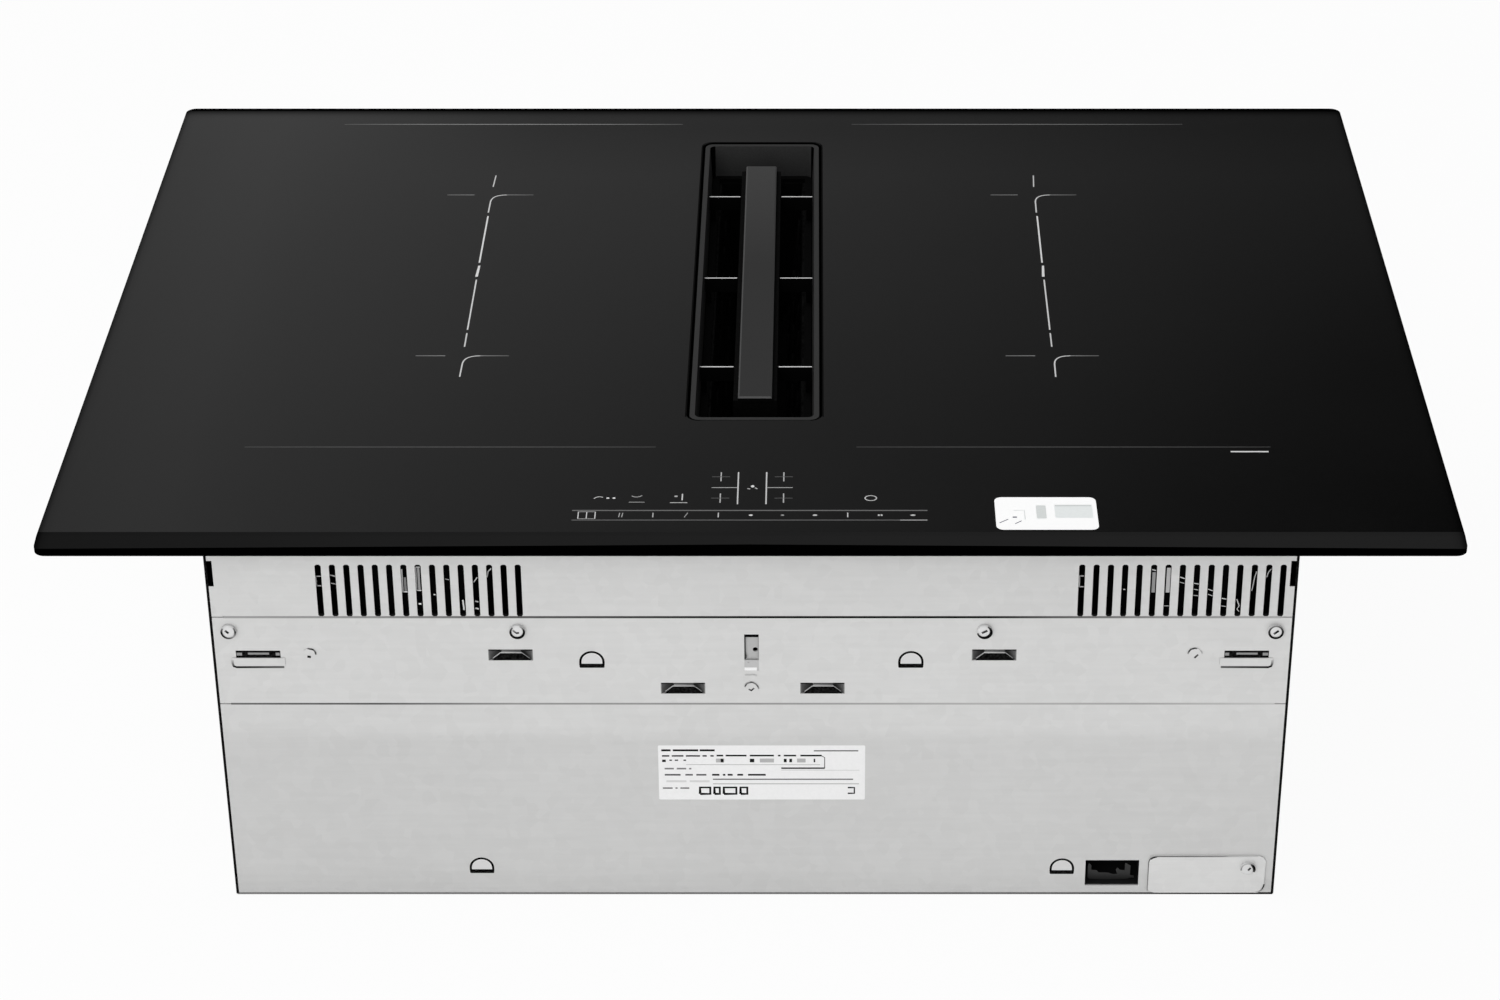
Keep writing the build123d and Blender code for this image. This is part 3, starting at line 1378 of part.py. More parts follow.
def build_all():
    node("glass_plate", glass_plate())
    node("worktop_seal", worktop_seal())
    node("glass_bond", glass_bond())
    node("inlet_frame", inlet_frame())
    ribs = cross_ribs()
    node("grille_ribs", ribs)
    node("grille_bar", grille_bar())
    node("grille_keel", grille_keel(ribs))
    node("cartridge_frame", cartridge_frame())
    node("grease_mesh_left", mesh_panel(-1))
    node("grease_mesh_right", mesh_panel(1))
    node("air_shaft", air_shaft())
    node("intake_hood", intake_hood())
    node("blower_housing", blower_housing())
    node("blower_cover", blower_cover())
    node("outlet_collar", outlet_collar())
    node("impeller", impeller())
    node("rotor_cup", rotor_cup())
    node("motor_shaft", motor_shaft())
    node("motor_mount", motor_mount())
    node("motor_bearings", motor_bearings())
    node("motor_stator", motor_stator())
    node("overflow_container", overflow_container())
    node("container_seal", container_seal())
    node("electronics_tray", electronics_tray())
    for name, side, fan_x in (("left", -1, LEFT_FAN_X), ("right", 1, RIGHT_FAN_X)):
        node("power_board_" + name, power_board(side))
        node("heat_sink_" + name, heat_sink(side))
        node("fan_housing_" + name, fan_housing(fan_x))
        node("fan_rotor_" + name, fan_rotor(fan_x))
        node("side_panel_" + name, side_panel(side))
        for place, (x, y) in zip(("front", "rear"), zone_centres(side)):
            node("coil_carrier_" + place + "_" + name, coil_carrier(x, y))
            node("coil_winding_" + place + "_" + name, coil_winding(x, y))
    node("coil_decks", group([coil_deck(side) for side in (-1, 1)]))
    node("board_components", group(board_components(-1) + board_components(1)))
    bars = [ferrite_bars(x, y) for side in (-1, 1) for x, y in zone_centres(side)]
    node("coil_ferrites", group(sum(bars, [])))
    node("mica_sheets", mica_sheets())
    node("zone_sensors", zone_sensors())
    node("touch_carrier", touch_carrier())
    node("touch_board", touch_board())
    node("upper_front_panel", upper_front_panel())
    node("lower_front_panel", lower_front_panel())
    node("rear_panel", rear_panel())
    node("bottom_plate", bottom_plate())
    node("cable_grommet", cable_grommet())
    node("terminal_cover", terminal_cover())
    node("terminal_block", terminal_block())
    node("service_socket", service_socket())
    node("fan_drive_unit", drive_unit())
    node("case_screws", case_screws())


build_all()
os.makedirs("parts", exist_ok=True)
for name, shape in NODES.items():
    export_step(shape, "parts/" + name + ".step")
print(len(NODES), "nodes")
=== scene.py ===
"""Looks, print, small marks with painted shadows and highlights, light and camera of the downdraft
induction cooktop.
"""

import json
import math

import bpy
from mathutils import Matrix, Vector

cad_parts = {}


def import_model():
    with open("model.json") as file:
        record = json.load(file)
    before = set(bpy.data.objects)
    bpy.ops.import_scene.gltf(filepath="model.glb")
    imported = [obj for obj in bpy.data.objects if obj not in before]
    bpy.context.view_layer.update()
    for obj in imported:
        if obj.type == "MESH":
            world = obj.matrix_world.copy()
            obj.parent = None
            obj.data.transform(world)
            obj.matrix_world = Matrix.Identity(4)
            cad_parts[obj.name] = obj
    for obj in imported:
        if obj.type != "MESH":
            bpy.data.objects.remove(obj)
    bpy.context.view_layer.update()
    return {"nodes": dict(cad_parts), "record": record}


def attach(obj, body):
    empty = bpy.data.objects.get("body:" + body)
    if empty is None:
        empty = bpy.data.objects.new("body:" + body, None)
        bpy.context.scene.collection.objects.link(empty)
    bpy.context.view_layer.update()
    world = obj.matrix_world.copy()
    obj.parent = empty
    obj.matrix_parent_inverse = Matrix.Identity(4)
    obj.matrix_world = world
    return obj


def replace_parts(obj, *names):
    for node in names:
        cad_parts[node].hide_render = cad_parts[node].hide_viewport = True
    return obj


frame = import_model()
NODES = frame["nodes"]

# millimetres, in the shared frame
MM = 0.001
GLASS_TOP = 228.0
FRONT = -239.0
BACK = 239.0
COVER_PROUD = 1.0
DIMPLE_SIDE, DIMPLE_Z = 225.5, 152.5
SIDE_SEAM = 274.3
HEAD_RADIUS = 4.0
HEAD_TOP = 1.9

# metres, as the material coordinates are; these bound the painted highlights, painted shade and
# painted sheen below
RIB_MIDDLE = 0.040
RIB_PITCH = 0.105
BAR_SIDE = 0.0122
WALL_INSIDE_X = 0.2742
WALL_INSIDE_Y = 0.2382
LUG_TOP = 0.1739
LIP_BOTTOM = 0.226
BEVEL_BACK = -0.2445
BEVEL_DARK = -0.2547
SIDE_RIM = (0.3512, 0.3536)
REAR_RIM = (0.2485, 0.2565)
INLET_MIDDLE = 0.0006
INLET_CORNER = 0.0289


# ---- node material helpers --------------------------------------------------------

def shade(color, factor):
    return tuple(min(1.0, c * factor) for c in color)


def grey(level):
    return (level, level, level)


def fill_ramp(made, stops):
    """Give a colour ramp its stops: each has a position and a colour or a grey level."""
    elements = made.color_ramp.elements
    while len(elements) < len(stops):
        elements.new(0.5)
    for element, (place, color) in zip(elements, stops):
        element.position = place
        element.color = (*(color if hasattr(color, "__len__") else grey(color)), 1.0)


class Look:
    """A node material under construction: a Principled shader and what feeds it."""

    def __init__(self, name, color, roughness, metallic=0.0, specular=0.5, ior=1.5):
        self.mat = bpy.data.materials.new(name)
        self.mat.use_nodes = True
        self.tree = self.mat.node_tree
        self.bsdf = self.tree.nodes["Principled BSDF"]
        self.set("Base Color", (*color, 1.0))
        self.set("Roughness", roughness)
        self.set("Metallic", metallic)
        self.set("Specular IOR Level", specular)
        self.set("IOR", ior)
        self.coords = self.node("ShaderNodeTexCoord").outputs["Object"]

    def set(self, socket, value):
        self.bsdf.inputs[socket].default_value = value

    def node(self, kind, **values):
        made = self.tree.nodes.new(kind)
        for key, value in values.items():
            if key in made.inputs:
                made.inputs[key].default_value = value
            else:
                setattr(made, key, value)
        return made

    def link(self, out, socket):
        target = self.bsdf.inputs[socket] if isinstance(socket, str) else socket
        self.tree.links.new(out, target)

    def stretched(self, scale):
        mapping = self.node("ShaderNodeMapping")
        mapping.inputs["Scale"].default_value = scale
        self.link(self.coords, mapping.inputs["Vector"])
        return mapping.outputs["Vector"]

    def noise(self, scale, detail=3.0, vector=None, roughness=0.5):
        made = self.node("ShaderNodeTexNoise", Scale=scale, Detail=detail, Roughness=roughness)
        self.link(vector or self.coords, made.inputs["Vector"])
        return made.outputs["Fac"]

    def cells(self, scale, feature="F1", vector=None):
        made = self.node("ShaderNodeTexVoronoi", feature=feature)
        made.inputs["Scale"].default_value = scale
        self.link(vector or self.coords, made.inputs["Vector"])
        return made

    def ramp(self, fac, stops):
        made = self.node("ShaderNodeValToRGB")
        fill_ramp(made, stops)
        self.link(fac, made.inputs["Fac"])
        return made.outputs["Color"]

    def math(self, operation, a, b):
        made = self.node("ShaderNodeMath", operation=operation)
        for i, value in enumerate((a, b)):
            if hasattr(value, "node"):
                self.link(value, made.inputs[i])
            else:
                made.inputs[i].default_value = value
        return made.outputs["Value"]

    def mix(self, fac, a, b, blend="MIX"):
        made = self.node("ShaderNodeMix", data_type="RGBA", blend_type=blend)
        for index, value in ((0, fac), (6, a), (7, b)):
            if hasattr(value, "node"):
                self.link(value, made.inputs[index])
            else:
                if index:
                    value = (*value, 1.0)
                made.inputs[index].default_value = value
        return made.outputs[2]

    def xyz(self, vector):
        split = self.node("ShaderNodeSeparateXYZ")
        self.link(vector, split.inputs["Vector"])
        return split.outputs

    def facing(self):
        """The face's own direction, as X, Y and Z."""
        return self.xyz(self.node("ShaderNodeTexCoord").outputs["Normal"])

    def bump(self, height, strength, distance):
        made = self.node("ShaderNodeBump", Strength=strength, Distance=distance)
        self.link(height, made.inputs["Height"])
        self.link(made.outputs["Normal"], "Normal")


def moulded(name, color, roughness=0.5, grain=900.0):
    """Moulded plastic: a fine eroded grain and slow changes of tone."""
    look = Look(name, color, roughness)
    slow = look.noise(9.0, 2.0)
    look.link(look.ramp(slow, ((0.3, shade(color, 0.85)), (0.7, shade(color, 1.15)))), "Base Color")
    fine = look.noise(grain, 2.0)
    low, high = max(0.05, roughness - 0.07), roughness + 0.07
    look.link(look.ramp(fine, ((0.3, low), (0.7, high))), "Roughness")
    look.bump(fine, 0.25, 0.00012)
    return look.mat


def deep_black(name, level=0.0015):
    """Matt black moulding that hardly answers to light, with a fine grain."""
    look = Look(name, grey(level), 0.85, specular=0.06)
    fine = look.noise(700.0, 2.0)
    look.link(look.ramp(fine, ((0.3, level * 0.5), (0.7, level * 1.6))), "Base Color")
    look.bump(fine, 0.2, 0.0001)
    return look.mat


def lit_from_above(name, color):
    """Painted highlight on a strip of the faces that look up, and painted shade, black, on the sides
    and beside the bar.
    """
    look = Look(name, color, 0.45, specular=0.05)
    grain = look.noise(320.0, 2.0, vector=look.stretched((0.2, 1.0, 1.0)))
    painted_highlight_tone = look.ramp(grain, ((0.3, shade(color, 0.88)), (0.7, shade(color, 1.08))))
    # painted highlight: only thin strips of the upward faces, one on each rib, stay bright
    up = look.ramp(look.facing()["Z"], ((0.6, 0.0), (0.9, 1.0)))
    aside = look.math("ABSOLUTE", look.xyz(look.coords)["X"], 0.0)
    up = look.math("MULTIPLY", up, look.math("GREATER_THAN", aside, BAR_SIDE))
    from_middle = look.math("SUBTRACT", look.xyz(look.coords)["Y"], RIB_MIDDLE)
    along = look.math("PINGPONG", from_middle, RIB_PITCH / 2)
    up = look.math("MULTIPLY", up, look.math("LESS_THAN", along, 0.00047))
    look.link(look.mix(up, grey(0.0015), painted_highlight_tone), "Base Color")
    return look.mat


def inside_tray(look, zinc):
    """Unlit inside the walls, and dimmer on the lugs that hang behind the front panel."""
    place = look.xyz(look.coords)
    inner_x = look.math("LESS_THAN", look.math("ABSOLUTE", place["X"], 0.0), WALL_INSIDE_X)
    inner_y = look.math("LESS_THAN", look.math("ABSOLUTE", place["Y"], 0.0), WALL_INSIDE_Y)
    reveal = look.math("LESS_THAN", look.math("ABSOLUTE", look.facing()["Y"], 0.0), 0.5)
    inner_y = look.math("MAXIMUM", inner_y, reveal)
    lug = look.math("LESS_THAN", place["Z"], LUG_TOP)
    zinc = look.mix(look.math("MULTIPLY", lug, 0.3), zinc, grey(0.05))
    inner = look.math("MULTIPLY", inner_x, inner_y)
    inner = look.math("MULTIPLY", inner, look.math("SUBTRACT", 1.0, lug))
    return look.mix(inner, zinc, grey(0.002))


def lance_legs(look, zinc):
    """Painted shade: darker on the sloping legs of the pressed-in bridges."""
    aside = look.math("ABSOLUTE", look.facing()["X"], 0.0)
    leg = look.ramp(aside, ((0.2, 0.0), (0.35, 0.9)))
    return look.mix(leg, zinc, grey(0.085))


def lower_tones(look, zinc):
    """Painted shade: a lighter band below the seam and a darker foot."""
    height = look.math("MULTIPLY", look.xyz(look.coords)["Z"], 5.0)
    tone = look.ramp(height, ((0.01, grey(0.865)), (0.05, grey(0.885)), (0.09, grey(0.92)),
                              (0.49, grey(0.92)), (0.535, grey(1.0))))
    return look.mix(1.0, zinc, tone, "MULTIPLY")


def sheet_metal(name, color, left=1.0, right=1.0, painted_shade=None):
    """Zinc coated sheet: faint spangle, rolled streaks and a soft sheen. The left and right levels
    scale the tone across the sheet as painted shade, and the last argument adds more painted shade.
    """
    look = Look(name, color, 0.42, metallic=0.25)
    spangle = look.cells(170.0)
    flakes = look.ramp(spangle.outputs["Color"],
                       ((0.0, shade(color, 0.965)), (1.0, shade(color, 1.02))))
    streaks = look.noise(60.0, 3.0, vector=look.stretched((0.35, 1.0, 7.0)))
    tone = look.ramp(streaks, ((0.25, 0.955), (0.75, 1.0)))
    zinc = look.mix(1.0, flakes, tone, "MULTIPLY")
    # painted shade: the tone goes from the left level to the right level across the sheet
    across = look.math("ADD", look.math("MULTIPLY", look.xyz(look.coords)["X"], 1.8), 0.5)
    side = look.ramp(across, ((0.0, grey(left)), (1.0, grey(right))))
    zinc = look.mix(1.0, zinc, side, "MULTIPLY")
    look.link(painted_shade(look, zinc) if painted_shade else zinc, "Base Color")
    smear = look.noise(14.0, 4.0)
    look.link(look.ramp(smear, ((0.3, 0.36), (0.7, 0.5))), "Roughness")
    look.bump(look.noise(420.0, 2.0), 0.12, 0.00008)
    return look.mat


def bare_metal(name, color, roughness, along=(1.0, 1.0, 12.0), strength=0.1):
    look = Look(name, color, roughness, metallic=1.0)
    lines = look.noise(260.0, 3.0, vector=look.stretched(along))
    tone = look.ramp(lines, ((0.3, shade(color, 0.86)), (0.7, shade(color, 1.08))))
    look.link(tone, "Base Color")
    low, high = max(0.05, roughness - 0.08), roughness + 0.08
    look.link(look.ramp(lines, ((0.3, low), (0.7, high))), "Roughness")
    look.bump(lines, strength, 0.00006)
    return look.mat


def glass_ceramic():
    """Near-black glass ceramic with painted light: a matt front bevel with a painted reflection that
    grows lighter to the right, painted shade that makes the edges black, and a polished face whose
    painted sheen falls off to the right and to the rear."""
    look = Look("glass_ceramic", (0.002, 0.002, 0.0021), 0.16, specular=0.36)
    haze = look.noise(5.0, 4.0)
    look.link(look.ramp(haze, ((0.3, 0.13), (0.7, 0.2))), "Roughness")
    specks = look.noise(1800.0, 1.0)
    tone = look.ramp(specks, ((0.55, grey(0.0018)), (0.8, grey(0.0055))))
    place = look.xyz(look.coords)
    across = look.math("ADD", look.math("MULTIPLY", place["X"], 1.4), 0.5)
    # painted reflection: the bevel's colour grows lighter to the right
    bevel = look.ramp(across, ((0.0, grey(0.0096)), (0.25, grey(0.0135)), (0.6, grey(0.016)),
                               (1.0, grey(0.0165))))
    flat = look.math("LESS_THAN", BEVEL_BACK, place["Y"])
    bow = look.math("MULTIPLY", look.math("ABSOLUTE", place["X"], 0.0), 0.0095)
    lit = look.math("LESS_THAN", BEVEL_DARK, look.math("ADD", place["Y"], bow))
    facing_up = look.math("LESS_THAN", 0.7, look.facing()["Z"])
    lit = look.math("MULTIPLY", look.math("SUBTRACT", lit, flat), facing_up)
    aside = look.math("ABSOLUTE", place["X"], 0.0)
    rims = look.math("MULTIPLY", look.ramp(aside, ((SIDE_RIM[0], 1.0), (SIDE_RIM[1], 0.0))),
                     look.ramp(place["Y"], ((REAR_RIM[0], 1.0), (REAR_RIM[1], 0.0))))
    # painted shade: black on the edges and on the bevel outside its lit band
    dark = look.mix(look.math("MULTIPLY", lit, rims), grey(0.0003), bevel)
    polished = look.math("MULTIPLY", look.math("MULTIPLY", flat, facing_up), rims)
    look.link(look.mix(polished, dark, tone), "Base Color")
    # painted sheen: the shine of the polished face is set by place, falling off to the right and to
    # the rear
    sheen = look.ramp(across, ((0.005, 0.66), (0.06, 0.86), (0.09, 0.92), (0.15, 0.84), (0.3, 0.74),
                               (0.6, 0.72), (0.78, 0.63), (0.92, 0.54), (0.97, 0.5)))
    rear = look.ramp(look.math("MULTIPLY", place["Y"], 4.0), ((0.66, 0.0), (0.92, 1.0)))
    rear = look.math("MULTIPLY", rear, look.ramp(across, ((0.15, 0.0), (0.32, 1.0))))
    painted_rear_dimming = look.math("SUBTRACT", 1.0, look.math("MULTIPLY", rear, 0.4))
    sheen = look.math("MULTIPLY", sheen, painted_rear_dimming)
    sheen = look.math("MULTIPLY", look.math("MULTIPLY", polished, sheen), 0.5)
    look.link(sheen, "Specular IOR Level")
    return look.mat


def powder_coat_with_painted_highlight(name, color, edge):
    """Fine matt coat, with a painted highlight on the sloping edges."""
    look = Look(name, color, 0.55)
    up = look.math("ABSOLUTE", look.facing()["Z"], 0.0)
    # painted highlight: the sloping faces take the lighter edge colour
    slope = look.ramp(up, ((0.1, 0.0), (0.55, 1.0), (0.85, 1.0), (0.97, 0.0)))
    fine = look.noise(1400.0, 2.0)
    coat = look.ramp(fine, ((0.3, shade(color, 0.86)), (0.7, shade(color, 1.12))))
    look.link(look.mix(slope, coat, edge), "Base Color")
    look.bump(fine, 0.3, 0.0001)
    return look.mat


def bar_coat_and_painted_light():
    """The bar's coat with painted light: a little paler to the rear, a painted highlight on the
    sloping edges, and painted shade, black, on the ends and sides.
    """
    look = Look("bar_coat_and_painted_light", grey(0.03), 0.55, specular=0.3)
    up = look.facing()["Z"]
    along = look.math("MULTIPLY", look.xyz(look.coords)["Y"], 4.0)
    # painted light: paler toward the rear
    painted_rear_light = look.ramp(along, ((0.2, grey(0.021)), (0.7, grey(0.042))))
    fine = look.noise(1400.0, 2.0)
    coat = look.mix(1.0, painted_rear_light, look.ramp(fine, ((0.3, grey(0.88)), (0.7, grey(1.1)))), "MULTIPLY")
    # painted highlight on the sloping edges
    edge = look.ramp(up, ((0.3, 1.0), (0.9, 1.0), (0.97, 0.0)))
    coat = look.mix(look.math("MULTIPLY", edge, 0.6), coat, grey(0.09))
    # painted shade: black, with little shine, on the ends and sides
    side = look.ramp(up, ((0.1, 1.0), (0.3, 0.0)))
    look.link(look.mix(side, coat, grey(0.002)), "Base Color")
    look.link(look.ramp(up, ((0.1, 0.02), (0.5, 0.3))), "Specular IOR Level")
    return look.mat


def frame_coat_and_painted_shade():
    """The inlet frame: grey lip and walls, with painted shade, black, below the lip and in the rear
    corners.
    """
    look = Look("frame_coat_and_painted_shade", grey(0.02), 0.6, specular=0.25)
    face = look.facing()
    place = look.xyz(look.coords)
    low = look.math("LESS_THAN", place["Z"], LIP_BOTTOM)
    painted_shade_mask = look.math("MULTIPLY", low, look.ramp(face["Z"], ((0.4, 0.0), (0.8, 1.0))))
    aside = look.math("ABSOLUTE", look.math("SUBTRACT", place["X"], INLET_MIDDLE), 0.0)
    rear = look.math("LESS_THAN", face["Y"], -0.3)
    corner = look.math("MULTIPLY", rear, look.math("GREATER_THAN", aside, INLET_CORNER))
    painted_shade_mask = look.math("MAXIMUM", painted_shade_mask, corner)
    fine = look.noise(1200.0, 2.0)
    coat = look.ramp(fine, ((0.3, grey(0.022)), (0.7, grey(0.03))))
    # painted shade: black and without shine where the mask is set
    look.link(look.mix(painted_shade_mask, coat, grey(0.0008)), "Base Color")
    look.link(look.math("MULTIPLY", look.math("SUBTRACT", 1.0, painted_shade_mask), 0.25), "Specular IOR Level")
    return look.mat


def circuit_board():
    look = Look("circuit_board", (0.02, 0.12, 0.05), 0.3)
    tracks = look.cells(260.0, "DISTANCE_TO_EDGE").outputs["Distance"]
    tone = look.ramp(tracks, ((0.05, (0.05, 0.24, 0.11)), (0.12, (0.012, 0.09, 0.035))))
    look.link(tone, "Base Color")
    look.bump(tracks, 0.15, 0.0001)
    return look.mat


def litz_winding():
    """Lacquered strands laid round the middle of each coil."""
    look = Look("litz_copper", (0.5, 0.2, 0.08), 0.38, metallic=0.7)
    strands = look.noise(900.0, 2.0, vector=look.stretched((1.0, 1.0, 0.2)))
    look.link(look.ramp(strands, ((0.3, (0.28, 0.1, 0.04)), (0.7, (0.6, 0.26, 0.1)))), "Base Color")
    look.bump(strands, 0.5, 0.0003)
    return look.mat


def filter_metal():
    """Dark coated layers of expanded metal."""
    look = Look("filter_metal", grey(0.002), 0.8, specular=0.05)
    mesh = look.cells(330.0, "DISTANCE_TO_EDGE", look.stretched((1.0, 0.55, 1.0)))
    mesh = mesh.outputs["Distance"]
    look.link(look.ramp(mesh, ((0.06, grey(0.005)), (0.2, grey(0.0005)))), "Base Color")
    look.bump(mesh, 0.8, 0.0006)
    return look.mat


def printed(name, color):
    """Ceramic print fired on the glass; the strokes thin out where the ink attribute falls."""
    look = Look(name, color, 0.4, specular=0.4)
    ink = look.node("ShaderNodeAttribute", attribute_name="ink").outputs["Fac"]
    grain = look.noise(2600.0, 2.0)
    worn = look.math("MULTIPLY", ink, look.ramp(grain, ((0.25, 0.72), (0.6, 1.0))))
    look.link(look.mix(worn, grey(0.005), color), "Base Color")
    return look.mat


def paper(name, color, painted_glow=0.0):
    look = Look(name, color, 0.45)
    # painted light: an optional glow, for a paper that reads whiter than the lamps make it
    look.set("Emission Color", (1.0, 1.0, 1.0, 1.0))
    look.set("Emission Strength", painted_glow)
    fibre = look.noise(700.0, 4.0)
    look.link(look.ramp(fibre, ((0.3, shade(color, 0.965)), (0.7, color))), "Base Color")
    look.bump(fibre, 0.1, 0.00005)
    return look.mat


ZINC = (0.60, 0.60, 0.595)

MATS = {
    "glass": glass_ceramic(),
    "rubber": moulded("rubber", grey(0.012), 0.8, 500.0),
    "black_plastic": moulded("black_plastic", (0.011, 0.011, 0.0115), 0.42),
    "grey_plastic": moulded("grey_plastic", (0.25, 0.26, 0.27), 0.5),
    "clear_plastic": moulded("clear_plastic", (0.6, 0.62, 0.64), 0.25),
    "bar_metal": powder_coat_with_painted_highlight("bar_metal", grey(0.05), grey(0.1)),
    "rib_metal": bare_metal("rib_metal", grey(0.62), 0.35),
    "mesh_metal": filter_metal(),
    "galvanised": sheet_metal("galvanised", ZINC),
    "screw_steel": bare_metal("screw_steel", (0.72, 0.72, 0.71), 0.25),
    "cast_aluminium": bare_metal("cast_aluminium", (0.7, 0.7, 0.71), 0.4),
    "stator_steel": bare_metal("stator_steel", (0.25, 0.22, 0.2), 0.5),
    "circuit_board": circuit_board(),
    "components": moulded("components", (0.05, 0.05, 0.07), 0.3),
    "carrier_plastic": moulded("carrier_plastic", (0.55, 0.53, 0.47), 0.55),
    "litz_copper": litz_winding(),
    "ferrite": moulded("ferrite", (0.05, 0.05, 0.055), 0.45),
    "mica": paper("mica", (0.66, 0.61, 0.5)),
    "sensor_rubber": moulded("sensor_rubber", (0.42, 0.09, 0.06), 0.6),
}

BLACK = deep_black("deep_black")
OWN = {
    "inlet_frame": frame_coat_and_painted_shade(),
    "grille_bar": bar_coat_and_painted_light(),
    "grille_ribs": lit_from_above("rib_steel", grey(0.8)),
    # painted light and shade: the front panels and the cover are lighter copies of the same zinc,
    # the panels darker toward the left, with more painted shade inside the tray, on the bridge legs
    # and at the foot
    "electronics_tray": sheet_metal("tray_sheet", ZINC, painted_shade=inside_tray),
    "upper_front_panel": sheet_metal("upper_sheet", shade(ZINC, 1.045), 0.965, painted_shade=lance_legs),
    "lower_front_panel": sheet_metal("lower_sheet", shade(ZINC, 1.09), 0.9, 0.965, lower_tones),
    "terminal_cover": sheet_metal("cover_sheet", shade(ZINC, 1.11)),
}
for name in ("grille_keel", "cartridge_frame", "air_shaft", "intake_hood", "overflow_container",
             "worktop_seal", "glass_bond", "fan_housing_left", "fan_housing_right"):
    OWN[name] = BLACK

for part in frame["record"]["subparts"]:
    node = NODES[part["node"]]
    node.data.materials.clear()
    node.data.materials.append(OWN.get(part["node"]) or MATS[part["material_slot"]])


# ---- mesh helpers, in millimetres ---------------------------------------------------

def piece(name, body, verts, faces, mat, ink=None, smooth=False):
    """One mesh piece that rides on a body."""
    mesh = bpy.data.meshes.new(name)
    mesh.from_pydata([Vector(v) * MM for v in verts], [], faces)
    mesh.materials.append(mat)
    if ink is not None:
        attribute = mesh.attributes.new("ink", "FLOAT", "POINT")
        attribute.data.foreach_set("value", ink)
    mesh.polygons.foreach_set("use_smooth", [smooth] * len(mesh.polygons))
    mesh.update()
    made = bpy.data.objects.new(name, mesh)
    bpy.context.scene.collection.objects.link(made)
    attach(made, body)
    return made


class Flat:
    """Strokes and fields laid on one plane; place turns a point of the drawing into space."""

    def __init__(self, place):
        self.place = place
        self.verts, self.faces, self.ink = [], [], []

    def polygon(self, points, level=1.0):
        first = len(self.verts)
        self.verts.extend(self.place(*p) for p in points)
        self.ink.extend([level] * len(points))
        self.faces.append(tuple(range(first, first + len(points))))

    def stroke(self, points, width, levels=1.0):
        points = [Vector(p) for p in points]
        if not hasattr(levels, "__len__"):
            levels = [levels] * len(points)
        first = len(self.verts)
        last = len(points) - 1
        for i, p in enumerate(points):
            before = (p - points[i - 1]).normalized() if i else None
            after = (points[i + 1] - p).normalized() if i < last else None
            along = ((before or after) + (after or before)).normalized()
            across = Vector((-along.y, along.x)) * (width / 2)
            self.verts.append(self.place(*(p + across)))
            self.verts.append(self.place(*(p - across)))
            self.ink.extend([levels[i]] * 2)
        for i in range(last):
            a = first + 2 * i
            self.faces.append((a, a + 1, a + 3, a + 2))

    def box(self, x0, y0, x1, y1, level=1.0):
        self.polygon(((x0, y0), (x1, y0), (x1, y1), (x0, y1)), level)

    def dot(self, x, y, rx, ry=None, level=1.0, count=16):
        ry = ry or rx
        angles = [2 * math.pi * i / count for i in range(count)]
        self.polygon([(x + rx * math.cos(a), y + ry * math.sin(a)) for a in angles], level)

    def done(self, name, body, mat):
        return piece(name, body, self.verts, self.faces, mat, self.ink)


def on_glass(height=0.03):
    return lambda x, y: (x, y, GLASS_TOP + height)


def on_front(proud=0.03):
    """Drawing on a front face, seen from the front."""
    return lambda x, z: (x, FRONT - proud, z)


def round_rect(x0, y0, x1, y1, radius, steps=5):
    corners = (
        (x1 - radius, y0 + radius, -90),
        (x1 - radius, y1 - radius, 0),
        (x0 + radius, y1 - radius, 90),
        (x0 + radius, y0 + radius, 180),
    )
    points = []
    for cx, cy, start in corners:
        for i in range(steps + 1):
            a = math.radians(start + 90 * i / steps)
            points.append((cx + radius * math.cos(a), cy + radius * math.sin(a)))
    return points


# ---- print on the glass ----------------------------------------------------------------

PRINT = printed("print_ink", grey(0.85))
FAINT = printed("faint_ink", grey(0.13))


def faded(x0, x1, y, width, flat, steps=8, level=1.0, power=1.0):
    """A rule that fades at both ends."""
    xs = [x0 + (x1 - x0) * i / steps for i in range(steps + 1)]
    levels = [level * math.sin(math.pi * (0.08 + 0.84 * i / steps)) ** power
              for i in range(steps + 1)]
    flat.stroke([(x, y) for x in xs], width, levels)


def border_lines():
    flat = Flat(on_glass())
    for x0, x1, level in ((-255.5, -48.9, 1.0), (54.1, 256.4, 0.62)):
        faded(x0, x1, 237.8, 0.85, flat, level=level)
    for x0, x1, level in ((-263.4, -50.5, 0.4), (53.3, 267.7, 0.35)):
        faded(x0, x1, -159.4, 0.5, flat, level=level, power=0.35)
    flat.done("printed_border_lines", "case", printed("border_ink", grey(0.34)))


def arc_points(points, steps=6):
    """A soft corner through a bent line: a quadratic blend between its first and last runs."""
    a, b, c = (Vector(p) for p in points)
    return [tuple(a.lerp(b, i / steps).lerp(b.lerp(c, i / steps), i / steps))
            for i in range(steps + 1)]


